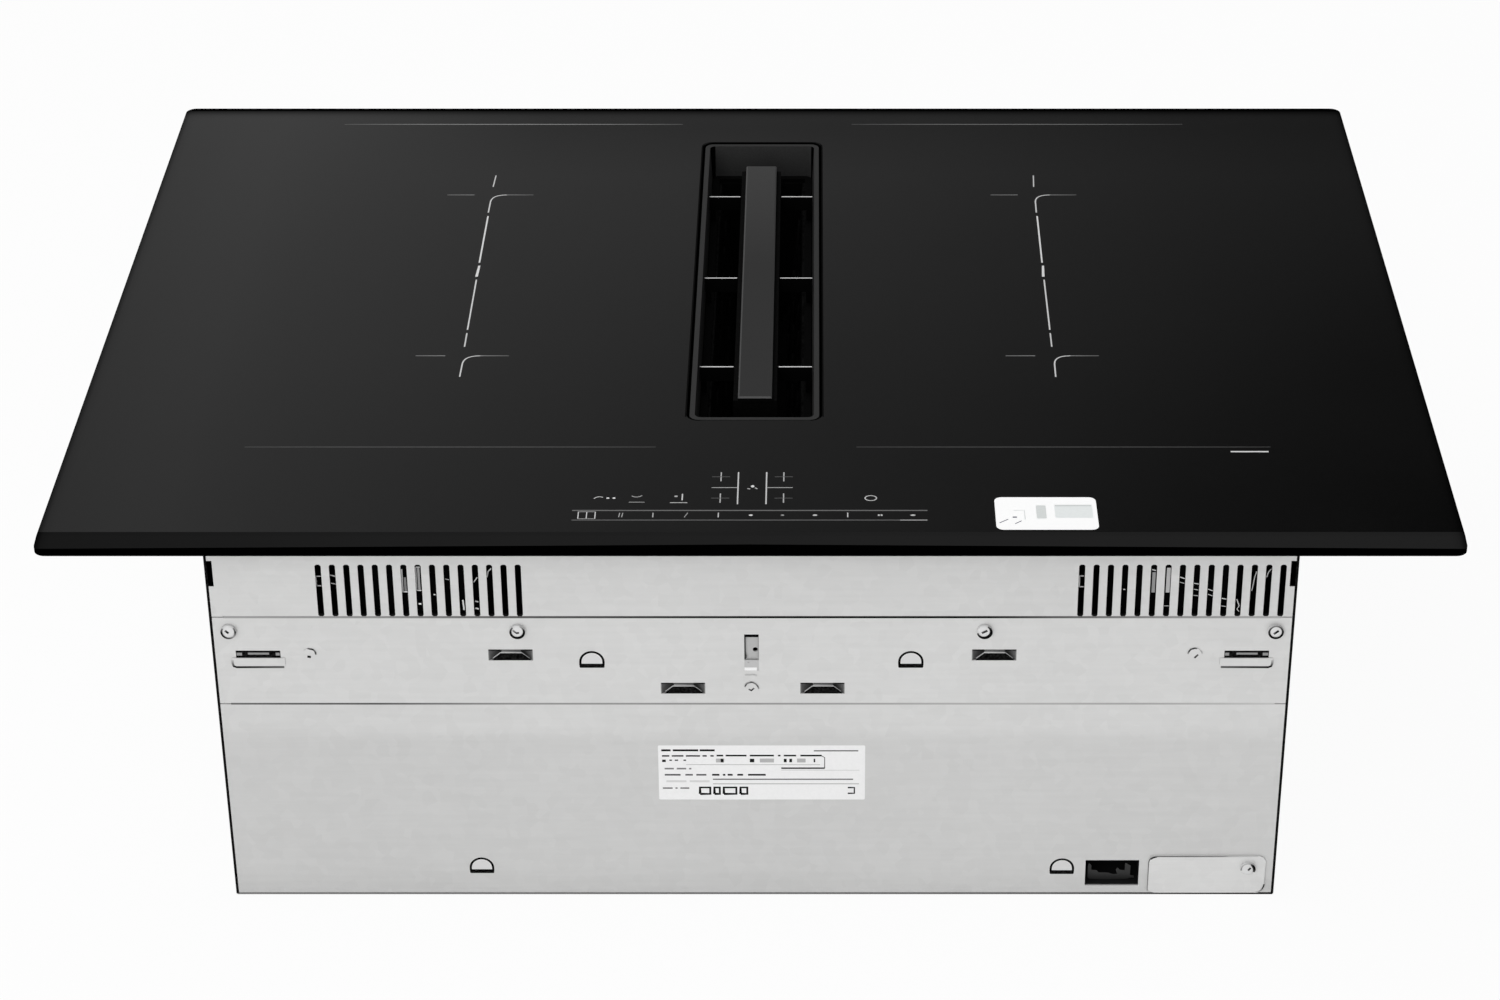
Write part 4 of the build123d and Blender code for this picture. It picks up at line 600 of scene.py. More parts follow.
def zone_marks():
    flat = Flat(on_glass())
    faint = Flat(on_glass())
    out = 26.0
    for line in (-158.2, 161.0):
        flat.stroke(((line + 0.6, 165.5), (line, 150.0)), 0.7, 0.8)
        flat.stroke(((line, 111.0), (line - 0.3, 51.2)), 0.9, 1.0)
        flat.stroke(((line - 0.3, 30.1), (line - 0.4, -30.0)), 0.8, 0.9)
        flat.stroke(((line - 0.4, -33.8), (line - 0.4, -49.7)), 0.8, 0.8)
        flat.polygon(((line - 1.3, 33.8), (line + 0.2, 33.8),
                      (line + 0.6, 47.5), (line - 0.6, 47.5)))
        for y, drop in ((139.1, 23.5), (-60.0, 23.8)):
            corner = arc_points(((line + 9.0, y), (line + 0.3, y), (line, y - 9.0)))
            flat.stroke(corner + [(line - 0.2, y - drop)], 0.8, 0.85)
            faint.stroke(((line + 9.0, y), (line + out - 1.5, y)), 0.7, (1.0, 0.5))
            faint.stroke(((line - out, y), (line - 10.0, y)), 0.7, (0.7, 1.0))
    flat.done("printed_zone_marks", "case", PRINT)
    faint.done("printed_zone_ticks", "case", printed("tick_ink", grey(0.3)))


def slider_strip():
    flat = Flat(on_glass())
    faint = Flat(on_glass())
    faint.stroke(((-90.2, -223.6), (88.4, -223.6)), 1.0)
    faint.stroke(((-90.0, -233.0), (74.4, -233.0)), 0.8, 0.8)
    flat.stroke(((74.5, -233.0), (88.2, -233.0)), 0.8, 0.5)
    for x in (-86.9, -82.7, -78.4):
        flat.stroke(((x, -231.8), (x, -224.8)), 0.5, 0.9)
    for y in (-224.9, -231.7):
        flat.stroke(((-86.9, y), (-78.4, y)), 0.5, 0.5)
    for x in (-66.5, -65.0):
        flat.stroke(((x, -230.2), (x + 0.4, -226.0)), 0.5, 0.5)
    for x, lean, level in ((-49.4, 0.0, 0.6), (-32.8, 0.8, 0.4), (-16.6, 0.0, 0.8),
                           (48.3, 0.0, 0.8)):
        flat.stroke(((x - lean, -230.3), (x + lean, -225.8)), 0.55, level)
    for x, rx, level in ((-0.3, 1.0, 1.0), (15.6, 0.9, 0.4), (31.9, 1.2, 0.8), (81.0, 1.3, 0.75)):
        flat.dot(x, -228.2, rx, 0.75, level)
    for x in (63.9, 65.3):
        flat.dot(x, -228.2, 0.55, 0.9, 0.7)
    flat.done("printed_slider_marks", "case", PRINT)
    faint.done("printed_slider_lines", "case", printed("slider_ink", grey(0.16)))


def key_symbols():
    flat = Flat(on_glass())
    faint = Flat(on_glass())
    for side in (-1, 1):
        x = side * 7.2
        flat.stroke(((x, -185.2), (x, -217.4)), 0.7, 0.8)
        flat.stroke(((side * 7.6, -200.9), (side * 20.6, -200.9)), 0.6, 0.6)
        for y in (-190.0, -211.4):
            cross = side * 16.0
            flat.stroke(((cross, y + 4.6), (cross, y - 4.6)), 0.6, 0.65)
            faint.stroke(((cross - 4.6, y), (cross + 4.6, y)), 0.5, 0.9)
    flat.dot(0.2, -199.6, 0.9, 1.15)
    flat.stroke(((-2.4, -201.8), (-1.0, -202.4)), 0.7, 0.7)
    flat.stroke(((1.4, -201.0), (2.6, -202.2)), 0.7, 0.7)
    flat.stroke(arc_points(((-79.8, -211.8), (-77.4, -208.8), (-75.4, -210.8))), 0.6, 0.8)
    flat.dot(-72.8, -211.4, 0.8, 0.75)
    flat.dot(-69.7, -211.4, 0.8, 0.75)
    flat.stroke(arc_points(((-60.8, -209.2), (-58.4, -211.6), (-55.6, -208.9))), 0.6, 0.55)
    flat.stroke(((-62.1, -215.4), (-54.0, -215.4)), 0.5, 0.55)
    flat.dot(-38.4, -209.6, 0.9, 0.8, 0.6)
    flat.stroke(((-35.2, -207.2), (-35.2, -213.6)), 0.6, 0.9)
    flat.stroke(((-41.3, -215.9), (-32.5, -215.9)), 0.55, 0.85)
    ellipse = [(60.1 + 2.9 * math.cos(a), -211.4 + 2.5 * math.sin(a)) for a in
               (2 * math.pi * i / 20 for i in range(21))]
    flat.stroke(ellipse, 0.6, 0.8)
    flat.done("printed_key_symbols", "case", PRINT)
    faint.done("printed_key_bars", "case", FAINT)


def inlet_shadow():
    """Painted shadow of the gap round the inlet, beside and behind it; the front edge shows none."""
    flat = Flat(on_glass(0.02))
    left = [(-36.05, -127.5)] + arc_points(((-36.05, 205.0), (-36.05, 211.9), (-29.2, 211.9)))
    flat.stroke(left + [(-x, y) for x, y in reversed(left)], 0.85)
    flat.done("inlet_shadow", "case", deep_black("inlet_gap_shadow_black"))


def corner_rule():
    flat = Flat(on_glass())
    flat.stroke(((246.6, -164.2), (266.2, -164.2)), 1.25, 1.0)
    flat.done("printed_corner_rule", "case", printed("rule_ink", grey(0.85)))


border_lines()
zone_marks()
slider_strip()
key_symbols()
corner_rule()
inlet_shadow()


# ---- blank labels ------------------------------------------------------------------------

def labels():
    white = paper("label_paper", grey(0.78))
    film = Flat(on_glass(0.05))
    film.polygon(round_rect(122.4, -242.4, 173.6, -210.6, 3.6))
    # painted light: the sticker glows a little
    film.done("glass_sticker", "case", paper("sticker_paper", grey(0.98), 0.17))
    field = Flat(on_glass(0.07))
    field.polygon(round_rect(152.3, -231.0, 171.4, -219.2, 0.8))
    field.done("glass_sticker_field", "case", paper("label_pale", (0.93, 0.965, 0.96)))
    block = Flat(on_glass(0.07))
    block.polygon(round_rect(143.0, -231.6, 148.0, -218.6, 0.6))
    block.stroke(((152.5, -218.7), (171.2, -218.7)), 1.3)
    block.stroke(((131.6, -223.6), (137.1, -223.6), (137.1, -232.6)), 0.55)
    block.done("glass_sticker_block", "case", paper("label_shade", (0.79, 0.82, 0.81)))
    strokes = Flat(on_glass(0.07))
    strokes.stroke(((124.1, -235.8), (128.6, -232.2)), 0.6)
    strokes.stroke(((130.9, -230.2), (133.1, -230.2)), 1.2)
    strokes.stroke(((131.9, -236.6), (135.3, -233.7)), 0.6)
    strokes.done("glass_sticker_strokes", "case", paper("label_ink", (0.17, 0.17, 0.22)))
    plate = Flat(on_front(0.05))
    plate.polygon(round_rect(-49.4, 61.6, 57.9, 95.8, 0.8))
    plate.done("rating_plate", "case", white)
    rating_rules()


def dashes(flat, z, width, level, runs):
    """A row of plain dashes: each run is its start and its end."""
    for x0, x1 in runs:
        flat.stroke(((x0, z), (x1, z)), width, level)


def rating_rules():
    """Plain dashes, rules and fields where the plate has its rows; no lettering."""
    flat = Flat(on_front(0.08))
    dashes(flat, 92.7, 1.2, 1.0, ((-47.7, -42.9), (-41.7, -28.6), (-27.8, -20.0)))
    dashes(flat, 92.4, 0.7, 0.9, ((31.3, 54.3),))
    dashes(flat, 89.2, 0.9, 1.0, ((-47.4, -43.6), (-42.3, -36.3), (-35.0, -27.7),
                                  (-26.4, -24.2), (-22.3, -20.6)))
    dashes(flat, 89.4, 1.0, 1.0, ((-19.1, -15.7), (-14.4, -3.6), (-1.9, 10.6),
                                   (12.7, 14.0), (15.7, 22.1), (24.3, 35.4)))
    dashes(flat, 86.1, 1.5, 1.0, ((-47.4, -45.5),))
    dashes(flat, 86.5, 0.8, 1.0, ((-43.6, -42.3), (-40.8, -39.1), (-36.3, -35.0)))
    dashes(flat, 86.3, 2.4, 0.48, ((-19.5, -15.2), (3.3, 10.6), (22.6, 27.0)))
    dashes(flat, 86.3, 2.2, 1.0, ((-17.0, -15.6), (-1.9, 0.4), (15.7, 17.2), (18.6, 20.0),
                                   (31.2, 32.0)))
    dashes(flat, 83.7, 0.4, 0.45, ((-35.0, 34.6),))
    flat.stroke(((35.4, 89.2), (36.9, 88.2), (36.9, 81.4)), 0.5, 0.85)
    dashes(flat, 81.5, 0.9, 1.0, ((14.4, 36.9),))
    dashes(flat, 81.2, 1.0, 0.75, ((-46.2, -41.4), (-39.9, -35.0), (-33.5, -32.3)))
    dashes(flat, 80.2, 0.3, 0.375, ((14.4, 55.0),))
    dashes(flat, 77.3, 1.0, 0.9, ((-46.2, -38.0), (-35.5, -31.6), (-29.8, -24.6)))
    dashes(flat, 77.3, 1.1, 1.0, ((-21.6, -17.8), (-16.0, -14.7), (-13.5, -10.9),
                                  (-8.5, -5.5), (-2.9, 6.3)))
    dashes(flat, 74.5, 0.7, 0.9, ((-21.2, 51.7),))
    dashes(flat, 71.6, 0.5, 0.525, ((-21.2, 54.8),))
    dashes(flat, 73.2, 1.2, 0.225, ((-45.4, -35.0), (-33.3, -23.0)))
    dashes(flat, 68.9, 0.7, 1.0, ((-47.4, -42.3), (-40.8, -39.7), (-38.2, -33.6)))
    for x0, x1 in ((-28.0, -22.7), (-20.5, -17.7), (-15.6, -9.1), (-6.9, -3.4)):
        edge = ((x0, 65.2), (x1, 65.2), (x1, 69.3), (x0, 69.3), (x0, 65.2))
        flat.stroke(edge, 1.45, 1.0)
    flat.stroke(((49.0, 65.6), (52.4, 65.6), (52.4, 69.2), (49.0, 69.2)), 0.95, 1.0)
    flat.done("rating_plate_rules", "case", marked("plate_ink", grey(0.78), grey(0.002)))


# ---- marks, painted shadows and painted highlights, and small fittings on the front ----------


def marked(name, base, dark):
    """Sheet with a mark on it: the ink attribute says how dark the mark is. Most marks drawn with it
    are painted shadow, painted shade or painted highlight; the rating plate's dashes are print.
    """
    look = Look(name, base, 0.42)
    ink = look.node("ShaderNodeAttribute", attribute_name="ink").outputs["Fac"]
    worn = look.math("MULTIPLY", ink, look.ramp(look.noise(900.0, 2.0), ((0.2, 0.97), (0.6, 1.0))))
    look.link(look.mix(worn, base, dark), "Base Color")
    look.link(look.math("MULTIPLY", look.math("SUBTRACT", 1.0, worn), 0.25), "Metallic")
    look.link(look.math("MULTIPLY", look.math("SUBTRACT", 1.0, worn), 0.4), "Specular IOR Level")
    return look.mat


def shaded(flat, x, z, points, width, levels):
    """A painted shade stroke drawn round the middle of a pressed or screwed detail."""
    flat.stroke([(x + dx, z + dz) for dx, dz in points], width, levels)


def seams():
    flat = Flat(on_front(0.02))
    xs = (-268.0, -190.0, -120.0, 0.0, 120.0, 200.0, 268.0)
    flat.stroke([(x, 174.3) for x in xs], 1.3, (0.5, 0.6, 0.85, 1.0, 1.0, 0.65, 0.4))
    flat.stroke([(x, 121.65) for x in xs], 1.1, (0.8, 0.85, 0.55, 0.55, 0.33, 0.42, 0.18))
    flat.stroke([(x, 0.9) for x in (-274.5, 0.0, 150.0, 274.5)], 1.3, (0.7, 0.72, 0.78, 1.0))
    for x in (-SIDE_SEAM, SIDE_SEAM):
        flat.stroke([(x, z) for z in (1.0, 120.0, 212.0)], 1.4, 1.0)
    flat.done("front_seam_shadows", "case", MARK)


def tongue_marks():
    # painted shadow round the arch of each pressed-in tongue and in the slot under it
    flat = Flat(on_front(0.03))
    lit = Flat(on_front(0.025))
    places = ((-81.9, 143.8), (80.8, 143.8), (-144.0, 14.2), (162.3, 13.6))
    radius, steps = 5.9, 14
    for x, z in places:
        arch = [(x - radius, z + 1.6)]
        for i in range(steps + 1):
            a = math.pi * (1 - i / steps)
            arch.append((x + radius * math.cos(a), z + 3.6 + radius * math.sin(a)))
        arch.append((x + radius, z + 1.6))
        lit.polygon(arch, 0.0)
        flat.stroke(arch, 1.2, 1.0)
        flat.polygon(round_rect(x - 6.4, z - 0.1, x + 6.4, z + 2.4, 0.7))
    flat.done("tongue_shadows", "case", MARK)
    lit.done("tongue_faces", "case", marked("tongue_face", grey(0.61), grey(0.05)))


def lance_marks():
    """Painted shadows and painted lit edges in the bridge windows, and painted shadow along the
    edges of the pads under the outer ones.
    """
    flat = Flat(on_front(0.03))
    lit = Flat(on_front(0.045))
    pads = Flat(on_front(0.53))
    for side in (-1, 1):
        x, z = side * 251.8, 152.0
        flat.box(x - 11.3, z - 2.1, x + 11.3, z + 2.1)
        lit.box(x - 5.2, z - 0.25, x + 5.6, z + 0.95, 0.62)
        for near, far in ((8.2, 11.0), (-11.0, -8.9)):
            x0, x1 = sorted((x + side * near, x + side * far))
            lit.box(x0, z - 0.8, x1, z + 0.9, 0.62)
        out = x + side * 13.3
        path = ((x - side * 12.8, 144.5), (x + side * 11.4, 144.4), (out - side * 0.4, 145.0),
                (out, 146.6), (out, 148.6))
        pads.stroke(path, 1.2, (0.85, 1.0, 1.0, 0.7, 0.3))
        for cx, cz in ((side * 123.2, 151.5), (side * 35.7, 131.2)):
            top, low = cz + 3.3, cz - 3.2
            flat.stroke(((cx - 11.2, top - 0.3), (cx - 5.0, top - 0.3)), 0.7)
            flat.stroke(((cx + 5.4, top - 0.3), (cx + 11.2, top - 0.3)), 0.7)
            flat.polygon(((cx - 5.0, top - 1.9), (cx - 9.4, low),
                          (cx + 10.4, low), (cx + 6.0, top - 1.9)))
            for end in (-1, 1):
                flat.stroke(((cx + end * 11.1, top), (cx + end * 11.1, top - 6.6)), 0.45, 0.7)
            lit.stroke(((cx - 4.6, top - 0.3), (cx + 5.4, top - 0.3)), 0.6, 0.96)
            lit.stroke(((cx - 4.6, top - 1.15), (cx + 5.4, top - 1.15)), 1.1, (0.7, 0.88))
            lit.stroke(((cx - 5.2, top - 1.9), (cx + 5.8, top - 1.9)), 0.45, (0.0, 0.2))
            lit.stroke(((cx - 5.2, top - 1.9), (cx - 9.2, top - 5.3)), 0.5, (0.35, 0.5))
            lit.stroke(((cx + 5.8, top - 1.9), (cx + 9.6, top - 5.2)), 0.4, (0.6, 0.75))
    flat.done("lance_shadows", "case", MARK)
    pads.done("pad_edge_shadows", "case", MARK)
    lit.done("lance_painted_light", "case", marked("lance_tab", grey(0.6), grey(0.02)))


def dimple_marks():
    """Broken painted shadow arcs of the three round dimples, and painted shade in the notch of each.
    """
    flat = Flat(on_front(0.3))
    arc = ((-0.9, 3.0), (0.8, 2.7), (1.9, 2.3), (2.5, 1.7), (3.0, 0.5), (3.1, -0.6))
    shaded(flat, -DIMPLE_SIDE, DIMPLE_Z, arc, 0.75, (0.8, 1.0, 1.0, 0.7, 1.0, 0.8))
    shaded(flat, -DIMPLE_SIDE, DIMPLE_Z, ((-1.3, -1.75), (0.5, -2.1)), 1.3, 1.0)
    arc = ((-3.63, -0.3), (-3.5, 0.3), (-3.1, 1.4), (-2.35, 2.5), (-1.5, 2.8), (-0.4, 3.2),
           (0.9, 3.05))
    shaded(flat, DIMPLE_SIDE, DIMPLE_Z, arc, 0.75, (0.4, 0.6, 0.95, 0.95, 0.95, 1.0, 0.8))
    shaded(flat, DIMPLE_SIDE, DIMPLE_Z, ((2.5, 2.0), (3.2, 1.2), (3.7, 0.0)), 0.6, (0.2, 0.5, 0.2))
    shaded(flat, DIMPLE_SIDE, DIMPLE_Z, ((-0.2, -2.6), (1.6, -0.6)), 0.95, (1.0, 0.8))
    arc = ((-3.8, 0.5), (-3.4, 1.5), (-2.8, 2.7), (-1.8, 3.0), (-0.4, 3.5), (0.5, 3.3),
           (2.0, 2.3), (2.9, 1.0), (3.4, -0.5))
    shaded(flat, -0.3, 131.5, arc, 0.7, (0.3, 1.0, 0.7, 0.7, 1.0, 0.75, 0.75, 0.9, 0.5))
    shaded(flat, -0.3, 131.5, ((-1.8, -0.7), (-0.4, -1.5), (1.0, -0.1)), 0.9, (0.75, 1.0, 0.8))
    shaded(flat, -0.3, 131.5, ((-3.7, 7.9), (-1.6, 7.8), (0.5, 8.1), (2.5, 7.4)), 0.8, 0.2)
    flat.done("dimple_shadows", "case", MARK)


def slot_marks():
    """The narrow window in the middle: its top and left edge are in shade."""
    flat = Flat(on_front(-0.1))
    flat.box(-4.1, 162.2, 3.3, 163.9)
    flat.box(-4.1, 149.0, -3.4, 162.2, 0.95)
    flat.box(2.9, 148.5, 3.3, 162.2, 0.55)
    flat.dot(-3.3, 150.6, 0.6, 1.2, 0.8)
    flat.dot(-2.1, 146.9, 0.5, 0.4, 0.45)
    flat.done("middle_slot_shade", "case", MARK)
    lit = Flat(on_front(-0.12))
    lit.box(-4.1, 142.0, 3.3, 148.4, 0.0)
    lit.done("middle_slot_foot", "case", marked("slot_foot", grey(0.47), grey(0.05)))
    tab = Flat(on_front(-0.05))
    tab.box(-4.1, 142.0, 2.2, 143.9, 0.0)
    tab.done("middle_slot_tab", "case", marked("slot_tab", grey(0.82), grey(0.3)))


# painted glints behind each slot: its number, a path of (sideways, height), width and level
GLINTS_LEFT = (
    (0, ((-1.2, 198.0), (-1.2, 203.6), (1.2, 203.6)), 0.6, 0.45),
    (0, ((-1.2, 198.0), (1.2, 198.0)), 0.6, 0.5),
    (1, ((-1.2, 204.4), (1.2, 203.6)), 0.6, 0.4),
    (1, ((-1.2, 199.6), (1.2, 199.0)), 0.5, 0.5),
    (6, ((-1.0, 207.8), (-1.0, 194.4), (1.3, 194.4)), 0.8, 0.2),
    (6, ((0.4, 203.0), (0.4, 195.0)), 1.2, 0.75),
    (7, ((-1.1, 209.0), (-1.1, 195.2), (1.1, 195.2)), 0.6, 0.1),
    (7, ((-1.1, 209.0), (1.1, 209.0)), 0.6, 0.3),
    (7, ((0.2, 208.6), (0.2, 195.6)), 1.2, 0.6),
    (7, ((-0.7, 187.2), (0.7, 187.2)), 0.9, 0.0),
    (8, ((0.0, 192.8), (0.9, 192.6)), 0.7, 0.1),
    (9, ((-1.0, 202.0), (1.0, 201.6)), 0.4, 0.5),
    (10, ((0.2, 189.5), (0.6, 183.5)), 0.8, 0.15),
    (11, ((-1.0, 200.0), (0.9, 203.0)), 0.5, 0.3),
    (11, ((-0.8, 188.8), (0.8, 188.4)), 0.7, 0.35),
    (11, ((-0.8, 184.6), (0.8, 184.2)), 0.9, 0.2),
    (12, ((-1.3, 203.0), (-0.6, 206.5), (1.0, 208.2)), 0.6, 0.35),
)
GLINTS_RIGHT = (
    (0, ((-1.1, 197.4), (-1.1, 203.8), (1.1, 203.8)), 0.6, 0.35),
    (0, ((-1.1, 197.4), (1.1, 197.4)), 0.6, 0.4),
    (3, ((-0.5, 195.8), (0.5, 195.8)), 0.6, 0.3),
    (5, ((0.1, 206.0), (0.1, 194.0)), 1.7, 0.6),
    (5, ((-1.0, 207.6), (1.0, 207.0)), 0.6, 0.3),
    (6, ((0.2, 208.6), (0.2, 194.0)), 2.0, 0.35),
    (6, ((-1.2, 186.0), (1.2, 186.0)), 0.4, 0.4),
    (7, ((-1.2, 203.2), (1.2, 202.2)), 0.5, 0.15),
    (7, ((-1.2, 200.2), (1.2, 199.4)), 0.4, 0.4),
    (8, ((-1.2, 199.5), (1.2, 199.0)), 0.5, 0.15),
    (8, ((-1.2, 196.0), (1.2, 195.4)), 0.4, 0.3),
    (8, ((-1.2, 192.4), (1.2, 192.0)), 0.4, 0.4),
    (9, ((-1.2, 196.0), (1.2, 195.0)), 0.5, 0.2),
    (9, ((-1.2, 193.0), (1.2, 192.0)), 0.4, 0.3),
    (10, ((-1.2, 190.5), (1.2, 190.0)), 0.5, 0.15),
    (10, ((-1.2, 186.0), (1.2, 185.6)), 0.4, 0.3),
    (11, ((-0.8, 190.0), (0.6, 186.0), (-0.4, 184.0), (0.8, 182.6)), 0.5, 0.2),
    (12, ((1.0, 206.5), (0.2, 203.0), (-0.8, 195.0)), 0.5, 0.4),
    (13, ((-1.0, 203.0), (-0.3, 206.0), (1.0, 208.0)), 0.5, 0.4),
)


def painted_glints():
    """Painted glints where the light catches close behind the vent slots, set over for the camera's
    side.
    """
    depth, drop = 2.5, 6.5
    eye_x, eye_far = 32.0, 1560.0
    flat = Flat(on_front(-depth))
    for first, pitch, table in ((-217.96, 7.18, GLINTS_LEFT), (166.14, 7.23, GLINTS_RIGHT)):
        for i, path, width, level in table:
            x = first + pitch * i
            aside = depth * (x - eye_x) / eye_far
            flat.stroke([(x + aside + dx, z - drop) for dx, z in path], width, level)
    flat.done("glints_behind_slots", "case", marked("painted_glints", grey(0.85), grey(0.002)))


def cover_marks():
    # painted shadow along the cover's left and top edges, fading toward the right, and round its
    # lower right corner
    flat = Flat(on_front(COVER_PROUD + 0.03))
    x0, x1, z0, z1, r = 207.9, 269.6, 2.2, 25.5, 4.3  # the cover's sides and corner radius
    left = [(x0, z0 + 1.0), (x0, z1 - r)]
    corner = arc_points(((x0, z1 - r), (x0, z1), (x0 + r, z1)))
    top = [(x0 + 20.0, z1), (x0 + 39.0, z1), (x0 + 44.0, z1), (x1 - r, z1)]
    levels = [0.6, 0.8] + [0.95] * len(corner) + [0.8, 0.3, 0.12]
    flat.stroke(left + corner[1:] + top, 0.5, levels)
    flat.stroke(((x0 + 0.9, z1 - 1.8), (x0 + 2.2, z1 - 0.8), (x0 + 4.2, z1 - 0.1)), 0.8,
                (0.8, 1.0, 0.9))
    flat.stroke([(x1, z1 - r), (x1, z0 + r)], 0.35, (0.1, 0.35))
    flat.stroke(arc_points(((x1, z0 + r + 1.0), (x1 - 0.4, z0 + 0.6), (x1 - r, z0))), 0.8,
                (0.9, 0.95, 0.9, 0.7, 0.5, 0.3, 0.15))
    flat.done("cover_edge_shadows", "case", MARK)


def socket_insert():
    """The connector's body, deep in its window."""
    flat = Flat(on_front(-5.0))
    flat.polygon(((176.5, 7.5), (178.2, 6.6), (187.6, 6.3), (197.9, 6.8), (199.0, 7.4),
                  (201.3, 7.5), (200.9, 8.9), (199.0, 9.1), (199.0, 15.3), (196.5, 17.1),
                  (196.1, 16.7), (196.1, 12.3), (193.5, 12.6), (192.1, 14.1), (191.3, 12.7),
                  (192.2, 9.9), (189.6, 9.8), (187.6, 10.7), (182.1, 10.9), (181.3, 12.3),
                  (178.3, 12.6), (178.3, 15.5), (176.9, 17.0), (176.5, 15.1)), 0.0)
    flat.done("socket_body", "case", marked("socket_body", grey(0.022), grey(0.01)))


# for each front screw, its shaded arcs: start and end in degrees, widths, levels
SCREW_RIMS = (
    ((140.0, 405.0, (0.8, 1.0, 1.0, 0.8, 0.9, 1.0, 0.8), (0.7, 1.0, 1.0, 0.95, 0.5, 0.95, 0.7)),),
    ((130.0, 430.0, (0.8, 1.1, 1.2, 1.4, 1.3, 1.0, 0.6), (0.8, 1.0, 1.0, 1.0, 1.0, 1.0, 0.4)),),
    ((188.0, 425.0, (0.8, 1.1, 1.5, 1.8, 1.6, 1.3, 0.8), (0.9, 1.0, 1.0, 1.0, 1.0, 1.0, 0.9)),),
    ((90.0, 450.0, (0.7, 0.9, 1.1, 1.1, 1.1, 1.0, 0.7), (0.7, 0.9, 1.0, 1.0, 1.0, 0.95, 0.7)),),
    ((-28.0, 66.0, (1.2, 1.5, 1.5, 1.1), (0.9, 1.0, 1.0, 0.9)),
     (66.0, 190.0, (0.6, 0.6, 0.7), (0.6, 0.3, 0.7))),
)
# for each front screw, the painted shade stroke in its recess: points, width, levels
SCREW_RECESSES = (
    (((-1.6, 1.1), (-0.7, 0.2), (0.1, -0.5)), 1.2, (0.8, 1.0, 1.0)),
    (((-2.2, 1.4), (-1.4, 0.4), (-0.4, -0.4), (0.9, -0.2)), 1.0, (0.5, 0.8, 1.0, 1.0)),
    (((-1.5, -0.4), (-0.2, 0.3), (1.3, 1.1)), 1.2, (0.8, 1.0, 0.9)),
    (((-1.1, -1.0), (0.1, 0.0), (1.3, 1.0)), 1.2, (0.8, 1.0, 1.0)),
    (((0.0, -0.6), (1.3, 1.1)), 1.0, (1.0, 1.0)),
)


def between(values, t):
    """The value at t, from 0 to 1, along evenly spaced values."""
    place = t * (len(values) - 1)
    i = min(int(place), len(values) - 2)
    return values[i] + (values[i + 1] - values[i]) * (place - i)


def crescent(flat, x, z, radius, start, end, widths, levels, count=24):
    """An arc of painted shade, changing in width and darkness, inside a rim."""
    first = len(flat.verts)
    for i in range(count + 1):
        t = i / count
        a = math.radians(start + (end - start) * t)
        for r in (radius, radius - between(widths, t)):
            flat.verts.append(flat.place(x + r * math.cos(a), z + r * math.sin(a)))
            flat.ink.append(between(levels, t))
    for i in range(count):
        a = first + 2 * i
        flat.faces.append((a, a + 2, a + 3, a + 1))


def screw_heads():
    """Domed heads in place of the plain ones, with shaded rims and recesses on the front ones."""
    profile = ((3.95, 0.0), (3.95, 0.75), (3.7, 1.25), (3.15, 1.58), (2.8, 1.7), (2.0, 1.84),
               (0.0, HEAD_TOP))
    fronts = [(x, 166.3, FRONT, -1) for x in (-265.6, -119.1, 118.0, 265.7)]
    fronts.append((260.3, 18.5, FRONT - COVER_PROUD, -1))
    rears = [(sx * 270.0, z, BACK, 1) for sx in (-1, 1) for z in (22.0, 152.0)]
    verts, faces, ink, count = [], [], [], 24
    for x, z, y, out in fronts + rears:
        first = len(verts)
        for step, (radius, proud) in enumerate(profile[:-1]):
            for i in range(count):
                a = 2 * math.pi * i / count
                verts.append((x + radius * math.cos(a), y + out * proud,
                              z - out * radius * math.sin(a)))
                # painted shade: the side of every head is a little darker
                ink.append(0.1 if step < 2 else 0.0)
        verts.append((x, y + out * profile[-1][1], z))
        ink.append(0.0)
        tip = len(verts) - 1
        for row in range(len(profile) - 2):
            for i in range(count):
                a, b = first + row * count + i, first + row * count + (i + 1) % count
                faces.append((a, b, b + count, a + count))
        last = first + (len(profile) - 2) * count
        faces.extend((last + i, last + (i + 1) % count, tip) for i in range(count))
    steel = marked("head_steel", grey(0.66), grey(0.002))
    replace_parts(piece("screw_heads", "case", verts, faces, steel, ink, smooth=True), "case_screws")
    for name, proud, chosen in (("front", 0.0, range(4)), ("cover", COVER_PROUD, range(4, 5))):
        flat = Flat(on_front(proud + HEAD_TOP + 0.02))
        for i in chosen:
            x, z = fronts[i][:2]
            for arc in SCREW_RIMS[i]:
                crescent(flat, x, z, HEAD_RADIUS, *arc)
            shaded(flat, x, z, *SCREW_RECESSES[i])
        flat.done("screw_shades_" + name, "case", MARK)


labels()
MARK = marked("shadow_mark", ZINC, grey(0.001))
seams()
tongue_marks()
lance_marks()
dimple_marks()
slot_marks()
painted_glints()
cover_marks()
socket_insert()
screw_heads()


# ---- light, floor and camera ----------------------------------------------------------------

